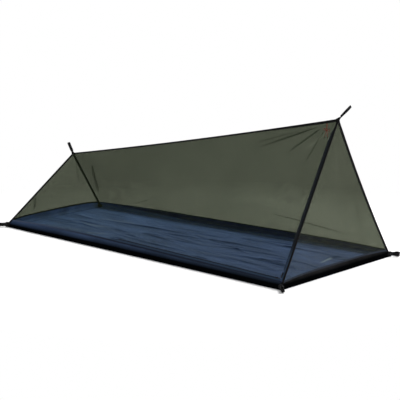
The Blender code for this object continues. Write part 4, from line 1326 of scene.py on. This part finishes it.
def foldedTape(name, path, wings, wing, headSwell=0.0, endShare=1.0):
    rows = pathFrames(path, wings, lambda t: -sum((w.normalized() for w in wings(t)), Vector()))
    length = rows[-1][1]
    bm = tapeBlank("folded", length, wing)
    for vertex in bm.verts:
        vertex.co.y *= 1 + headSwell * smooth((vertex.co.x / length - 0.72) / 0.2)
        if vertex.co.y > 0:
            vertex.co.y *= endShare
    mapAlong(bm, rows)
    addPiece(name, bm, ["tape", "thread"], "binding_tape", True)


def flatTape(name, path, outward, cloth):
    def wings(t):
        tangent = (path(min(1, t + 0.004)) - path(max(0, t - 0.004))).normalized()
        across = outward(t).cross(tangent).normalized()
        return (-across, across)

    rows = pathFrames(path, wings, outward)
    bm = tapeBlank("flat", rows[-1][1], tent["seamWidth"] / 2)
    mapAlong(bm, rows)
    addPiece(name, bm, [cloth, "thread"], "binding_tape", True)


foldedTape("ridgeBinding", ridge, ridgeWings, tent["ridgeWing"] + 0.001, 0.50)
outlineHips = ((1, 1), (-1, -1))
for end, endName in ((1, "Head"), (-1, "Foot")):
    for side, sideName in ((-1, "Front"), (1, "Rear")):
        low = 0.012 if end > 0 else 0.022
        foldedTape(
            f"hipBinding{sideName}{endName}",
            lambda t, end=end, side=side, low=low: hip(end, side, mix(low, 0.997, t)),
            hipWings(end, side), tent["outlineWing" if (end, side) in outlineHips else "hipWing"],
            0.0, 0.7 if (end, side) == (1, -1) else 1.0,
        )
seamOutward = {
    "front": lambda t: sideOutward(t, -1, 0.05), "rear": lambda t: sideOutward(t, 1, 0.05),
    "head": lambda t: endOutward(1), "foot": lambda t: endOutward(-1),
}
seamCloth = {"front": "navyTape", "rear": "navyTape", "head": "slateTape", "foot": "tape"}
for sideName, plan in wallPlans.items():
    flatTape(
        "seamTape" + sideName.capitalize(), inset(plan[1], plan[3]), seamOutward[sideName],
        seamCloth[sideName],
    )
print("tapes made")

# Door zips
zipLook = {
    "toothPitch": 0.0013, "toothLength": 0.0034, "toothThick": 0.0009, "toothHeight": 0.0020,
    "toothOffset": 0.0012, "thick": 0.0008, "edge": 0.0004, "narrowDoor": 0.0032,
    "narrowFixed": 0.003, "stitchOffset": 0.0014, "stitchLift": 0.00045,
    "doorTape": 0.0040, "taper": 0.045, "tail": 0.055,
}
zipRuns = {
    "hipZipFixedHalf": ("hip", -1, 0.0035), "hipZipDoorHalf": ("hip", 1, 0.0),
    "sillZipFixedHalf": ("sill", -1, 0.0030), "sillZipDoorHalf": ("sill", 1, 0.0),
}


def zipAxes(kind):
    # X along the zip from the door's corner, Y into the door, Z out of the tent
    along, inward, offset = (
        (hipAlong, hipInward, hipZipOffset) if kind == "hip"
        else (sillAlong, sillInward, sillZipOffset)
    )
    turn = doorAxes.to_3x3()
    matrix = Matrix((turn @ along, turn @ inward, doorOutward)).transposed().to_4x4()
    matrix.translation = doorAxes @ (inward * offset)
    return matrix


def makeZipHalf(name):
    kind, side, tuck = zipRuns[name]
    axes = zipAxes(kind)
    toLocal = axes.inverted()
    runs = [(toLocal @ v.co).x for v in nodes[nodeName(name)].data.vertices]
    start, stop = min(runs), max(runs)
    length = stop - start
    inner = doorLines["chainGap"] / 2 + doorLines["chainRadius"]
    outer = chainOffset + tuck
    if side > 0:
        low, high, tail = zipLook["edge"], zipLook["doorTape"], 0.0
        narrowEdge = zipLook["narrowDoor"]
    else:
        low, high, tail = -outer, -zipLook["edge"], zipLook["tail"]
        narrowEdge = zipLook["narrowFixed"] - outer
    bm = stripBlank(length + tail, low, high, zipLook["thick"], 0.01)
    for vertex in bm.verts:
        if vertex.co.y > narrowEdge:
            narrow = smooth((length + tail - vertex.co.x) / zipLook["taper"])
            vertex.co.y = mix(narrowEdge, vertex.co.y, narrow)
    ripple(bm, 0.0, 0.00012, 0.02)
    seam = side * (inner + zipLook["stitchOffset"])
    stitchLine(bm, 0.004, length - 0.004, seam, zipLook["stitchLift"])
    tooth = stitch(zipLook["toothThick"], zipLook["toothLength"], zipLook["toothHeight"])
    pitch = zipLook["toothPitch"]
    phase = 0.25 if side > 0 else 0.75
    count = int((length - pitch) / pitch)
    addRow(bm, tooth, count, (pitch, 0, 0), (phase * pitch, side * zipLook["toothOffset"], 0), 2)
    bmesh.ops.transform(bm, matrix=axes @ Matrix.Translation((start, 0, 0)), verts=bm.verts)
    body = "door" if side > 0 else "tent"
    addPiece(name, bm, ["zipTape", "thread", "nylon"], "zip_tape", True, body=body)


for name in zipRuns:
    makeZipHalf(name)
for kind in ("hip", "sill"):
    for part in ("slider", "pull", "stop"):
        mesh = nodes[f"{kind}_zip_{part}"].data
        mesh.materials.clear()
        mesh.materials.append(materials["metal"])
print("zips made")

# Webbing: the sewn anchors and their loops
loopPlans = {
    "corner": {
        "length": 0.046, "belly": 0.0072, "open": 0.7, "width": 0.020, "twist": 16,
        "tuck": 0.0010, "droop": -0.0010,
    },
    "headApex": {
        "length": 0.088, "belly": 0.0016, "open": 0.7, "width": 0.012, "lean": 46, "twist": 75,
        "tuck": 0.0035, "droop": 0.0,
    },
    "footApex": {
        "length": 0.056, "belly": 0.0034, "open": 0.35, "width": 0.015, "lean": 31, "twist": -30,
        "tuck": 0.0035, "droop": 0.0,
    },
}
anchorPlans = {
    "corner": ((0.014, 0.030, 0.0284), (0.010, 0.006, 0.0284)),
    "apex": ((0.013, 0.026, 0.022), (0.013, 0.013, 0.005)),
}
webbingThick, anchorFolds = 0.0013, 0.05
barTacks = {
    "loopThick": 0.0006, "loopCount": 4, "loopPitch": 0.0007, "loopOffset": 0.0030,
    "anchorThick": 0.0007, "anchorCount": 6, "anchorPitch": 0.0008,
}


def loopPoint(plan, t):
    # Round a strap loop, from its narrow neck to its rounded tip and back
    turn = 2 * math.pi * t
    roundFrom = turn if turn < math.pi else 2 * math.pi - turn
    power = 0.35 + 0.50 * roundFrom / math.pi
    cosine, sine = math.cos(turn), math.sin(turn)
    x = plan["length"] / 2 * (1 - math.copysign(abs(cosine) ** power, cosine))
    swell = math.sin(math.pi / 2 * min(1, x / (plan["open"] * plan["length"]))) ** 2
    width = 0.0022 + plan["belly"] * swell
    return Vector((x, math.copysign(abs(sine) ** power, sine) * width, 0))


def makeLoop(name, plan, strapAxes):
    count = 96
    outline = [loopPoint(plan, (i + 0.5) / count) for i in range(count)]
    bm = bmesh.new()
    for place in outline:
        bm.verts.new(place)
    bm.verts.ensure_lookup_table()
    for i in range(count):
        bm.edges.new((bm.verts[i], bm.verts[(i + 1) % count]))
    half = plan["width"] / 2
    bmesh.ops.translate(bm, vec=(0, 0, -half), verts=bm.verts)
    rings = bm.edges[:]
    steps = 6
    for _ in range(steps):
        grown = bmesh.ops.extrude_edge_only(bm, edges=rings)["geom"]
        rings = [g for g in grown if isinstance(g, bmesh.types.BMEdge)]
        newVerts = [g for g in grown if isinstance(g, bmesh.types.BMVert)]
        bmesh.ops.translate(bm, vec=(0, 0, plan["width"] / steps), verts=newVerts)
        rings = [e for e in rings if abs(e.verts[0].co.z - e.verts[1].co.z) < 1e-6]
    run = [0.0]
    for a, b in zip(outline, outline[1:] + outline[:1]):
        run.append(run[-1] + (b - a).length)
    uvLayer = bm.loops.layers.uv.new("UVMap")
    for face in bm.faces:
        at = [
            min(range(count), key=lambda i: (outline[i].xy - loop.vert.co.xy).length_squared)
            for loop in face.loops
        ]
        wraps = max(at) - min(at) > count / 2
        for loop, i in zip(face.loops, at):
            lap = run[count] if wraps and i < count / 2 else 0.0
            loop[uvLayer].uv = (lap + run[i], loop.vert.co.z)
    for vertex in bm.verts:
        x, y, z = vertex.co
        share = x / plan["length"]
        vertex.co.x -= plan["tuck"] * smooth(1 - share / 0.2)
        vertex.co.z += plan["droop"] * share * share + 0.0005 * math.sin(7 * share + y * 300)
        vertex.co.y += 0.0007 * math.sin(4.5 * share) * (z / half)
        turn = Matrix.Rotation(math.radians(plan["twist"]) * smooth(share / 0.10), 3, "X")
        vertex.co = turn @ vertex.co
    bmesh.ops.recalc_face_normals(bm, faces=bm.faces[:])
    bmesh.ops.solidify(bm, geom=bm.faces[:], thickness=webbingThick * 0.9)
    for share in (0.06, 0.10):
        for side in (-1, 1):
            thick = barTacks["loopThick"]
            unit = stitch(plan["width"] * 0.7, thick, thick, "Y")
            start = (share * plan["length"], side * barTacks["loopOffset"], 0)
            addRow(bm, unit, barTacks["loopCount"], (barTacks["loopPitch"], 0, 0), start)
    bmesh.ops.transform(bm, matrix=strapAxes, verts=bm.verts)
    addPiece(name, bm, ["webbing", "thread"], "webbing", True, body=nodeName(name))


def makeAnchor(name, box, kind):
    # A tab of gathered cloth and webbing, sewn through with bar tacks
    inner, outer = anchorPlans[kind]
    bm = bmesh.new()
    bmesh.ops.create_cube(bm, size=2)
    bmesh.ops.subdivide_edges(bm, edges=bm.edges[:], cuts=9, use_grid_fill=True)
    for vertex in bm.verts:
        x, y, z = vertex.co
        share = (x + 1) / 2
        reach = mix(-inner[0], outer[0], share)
        width = mix(inner[1], outer[1], share) / 2
        height = mix(inner[2], outer[2], share) / 2
        roundY = math.sqrt(max(0.0, 1 - 0.55 * z * z))
        roundZ = math.sqrt(max(0.0, 1 - 0.55 * y * y))
        crease = 1 + anchorFolds * math.sin(11 * z + 3 * share) * (1 - share * 0.5)
        pinch = 1 + 0.10 * math.sin(9 * y + 4 * share) * anchorFolds * 4
        vertex.co = Vector((reach, y * width * roundY * crease, z * height * roundZ * pinch))
    fillFlat(bm, lambda vertex: (vertex.co.x, vertex.co.z + vertex.co.y))
    thick, pitch = barTacks["anchorThick"], barTacks["anchorPitch"]
    for side in (-1, 1):
        if kind == "corner":
            unit = stitch(outer[2] * 0.72, thick, thick, "Y")
            start = (0.0035, side * mix(inner[1], outer[1], 0.73) / 2 * 1.04, 0)
            step = (pitch, side * -0.0003, 0)
        else:
            unit = stitch(outer[1] * 0.75, thick, thick, "Z")
            start = (0.005, 0, side * mix(inner[2], outer[2], 0.69) / 2 * 1.03)
            step = (pitch, 0, side * -0.0002)
        addRow(bm, unit, barTacks["anchorCount"], step, start)
    bmesh.ops.transform(bm, matrix=box, verts=bm.verts)
    addPiece(name, bm, ["webbing", "thread"], "webbing", True)


def anchorAndLoop(place, centre, outward, widthAxis, kind, plan):
    box = frameAt(centre, outward, widthAxis)
    makeAnchor(place + "Anchor", box, kind)
    outer = anchorPlans[kind][1]
    root = box.to_3x3() @ Vector((outer[0] + 0.0003 + webbingThick / 2, 0, 0))
    strapSide = box.col[1].to_3d() if kind == "corner" else -box.col[2].to_3d()
    strapAxes = frameAt(centre + root, box.col[0].to_3d(), strapSide)
    makeLoop(place + "Loop", plan, strapAxes)


for end, endName in ((1, "Head"), (-1, "Foot")):
    for side, sideName in ((-1, "front"), (1, "rear")):
        corner = hip(end, side, 0)
        corner.z = 0.0155
        outward = Vector((end, side, 0))
        anchorAndLoop(
            f"{sideName}{endName}Corner", corner, outward, up.cross(outward), "corner",
            loopPlans["corner"],
        )
for end, endName, apex in ((1, "head", headApex), (-1, "foot", footApex)):
    plan = loopPlans[endName + "Apex"]
    lean = math.radians(plan["lean"])
    outward = Vector((end * math.sin(lean), 0, math.cos(lean)))
    anchorAndLoop(endName + "Apex", apex, outward, Vector((0, 1, 0)), "apex", plan)
print("webbing made")

# Stage and light
stageLook = {
    "floorTones": (0.86, 0.88), "world": 0.60, "key": 370, "fill": 40, "fadeFrom": 1.25,
    "fadeTo": 1.9,
}


def makeStage():
    bm = bmesh.new()
    bmesh.ops.create_grid(bm, x_segments=1, y_segments=1, size=30)
    bmesh.ops.translate(bm, vec=(0, 0, -0.0004), verts=bm.verts)
    mesh = bpy.data.meshes.new("studioFloor")
    bm.to_mesh(mesh)
    bm.free()
    ground = newObject("studioFloor", mesh)
    material, tree, shader = startMaterial("studioFloor", 0.95, 0.0)
    place = objectPlace(tree)
    dark, pale = ((tone, tone, tone, 1) for tone in stageLook["floorTones"])
    paint(tree, shader, blendColour(tree, grain(tree, place, 0.5), dark, pale))
    reach = addNode(tree, "ShaderNodeVectorMath", {0: place}, operation="LENGTH").outputs["Value"]
    far = ranged(tree, reach, stageLook["fadeFrom"], stageLook["fadeTo"])
    rays = addNode(tree, "ShaderNodeLightPath")
    plain = sums(
        tree, "MAXIMUM",
        sums(tree, "MAXIMUM", rays.outputs["Is Camera Ray"], rays.outputs["Is Glossy Ray"]),
        rays.outputs["Is Transmission Ray"],
    )
    paper = addNode(tree, "ShaderNodeEmission", {"Color": (1, 1, 1, 1), "Strength": 1.0})
    chosen = mixedShaders(tree, sums(tree, "MULTIPLY", far, plain), shader, paper)
    tree.links.new(chosen.outputs[0], tree.nodes["Material Output"].inputs["Surface"])
    mesh.materials.append(material)


def addLamp(name, place, target, size, energy):
    lamp = bpy.data.lights.new(name, "AREA")
    lamp.energy = energy
    lamp.shape = "DISK"
    lamp.size = size
    holder = newObject(name, lamp)
    holder.location = place
    holder.rotation_euler = (Vector(target) - Vector(place)).to_track_quat("-Z", "Y").to_euler()


makeStage()
addLamp("keyLamp", (1.4, 3.0, 5.0), (0, 0, 0.2), 2.4, stageLook["key"])
addLamp("fillLamp", (4.0, -3.0, 3.5), (0, 0, 0.3), 3.5, stageLook["fill"])

world = bpy.data.worlds.new("studioWorld")
bpy.context.scene.world = world
world.use_nodes = True
sky = world.node_tree
background = sky.nodes["Background"]
background.inputs["Color"].default_value = (1, 1, 1, 1)
background.inputs["Strength"].default_value = stageLook["world"]
white = addNode(sky, "ShaderNodeBackground", {"Color": (1, 1, 1, 1), "Strength": 1.0})
rayPath = addNode(sky, "ShaderNodeLightPath")
choose = mixedShaders(sky, rayPath.outputs["Is Camera Ray"], background, white)
sky.links.new(choose.outputs[0], sky.nodes["World Output"].inputs["Surface"])

bpy.context.scene.view_settings.view_transform = "Standard"
print("stage and light made")
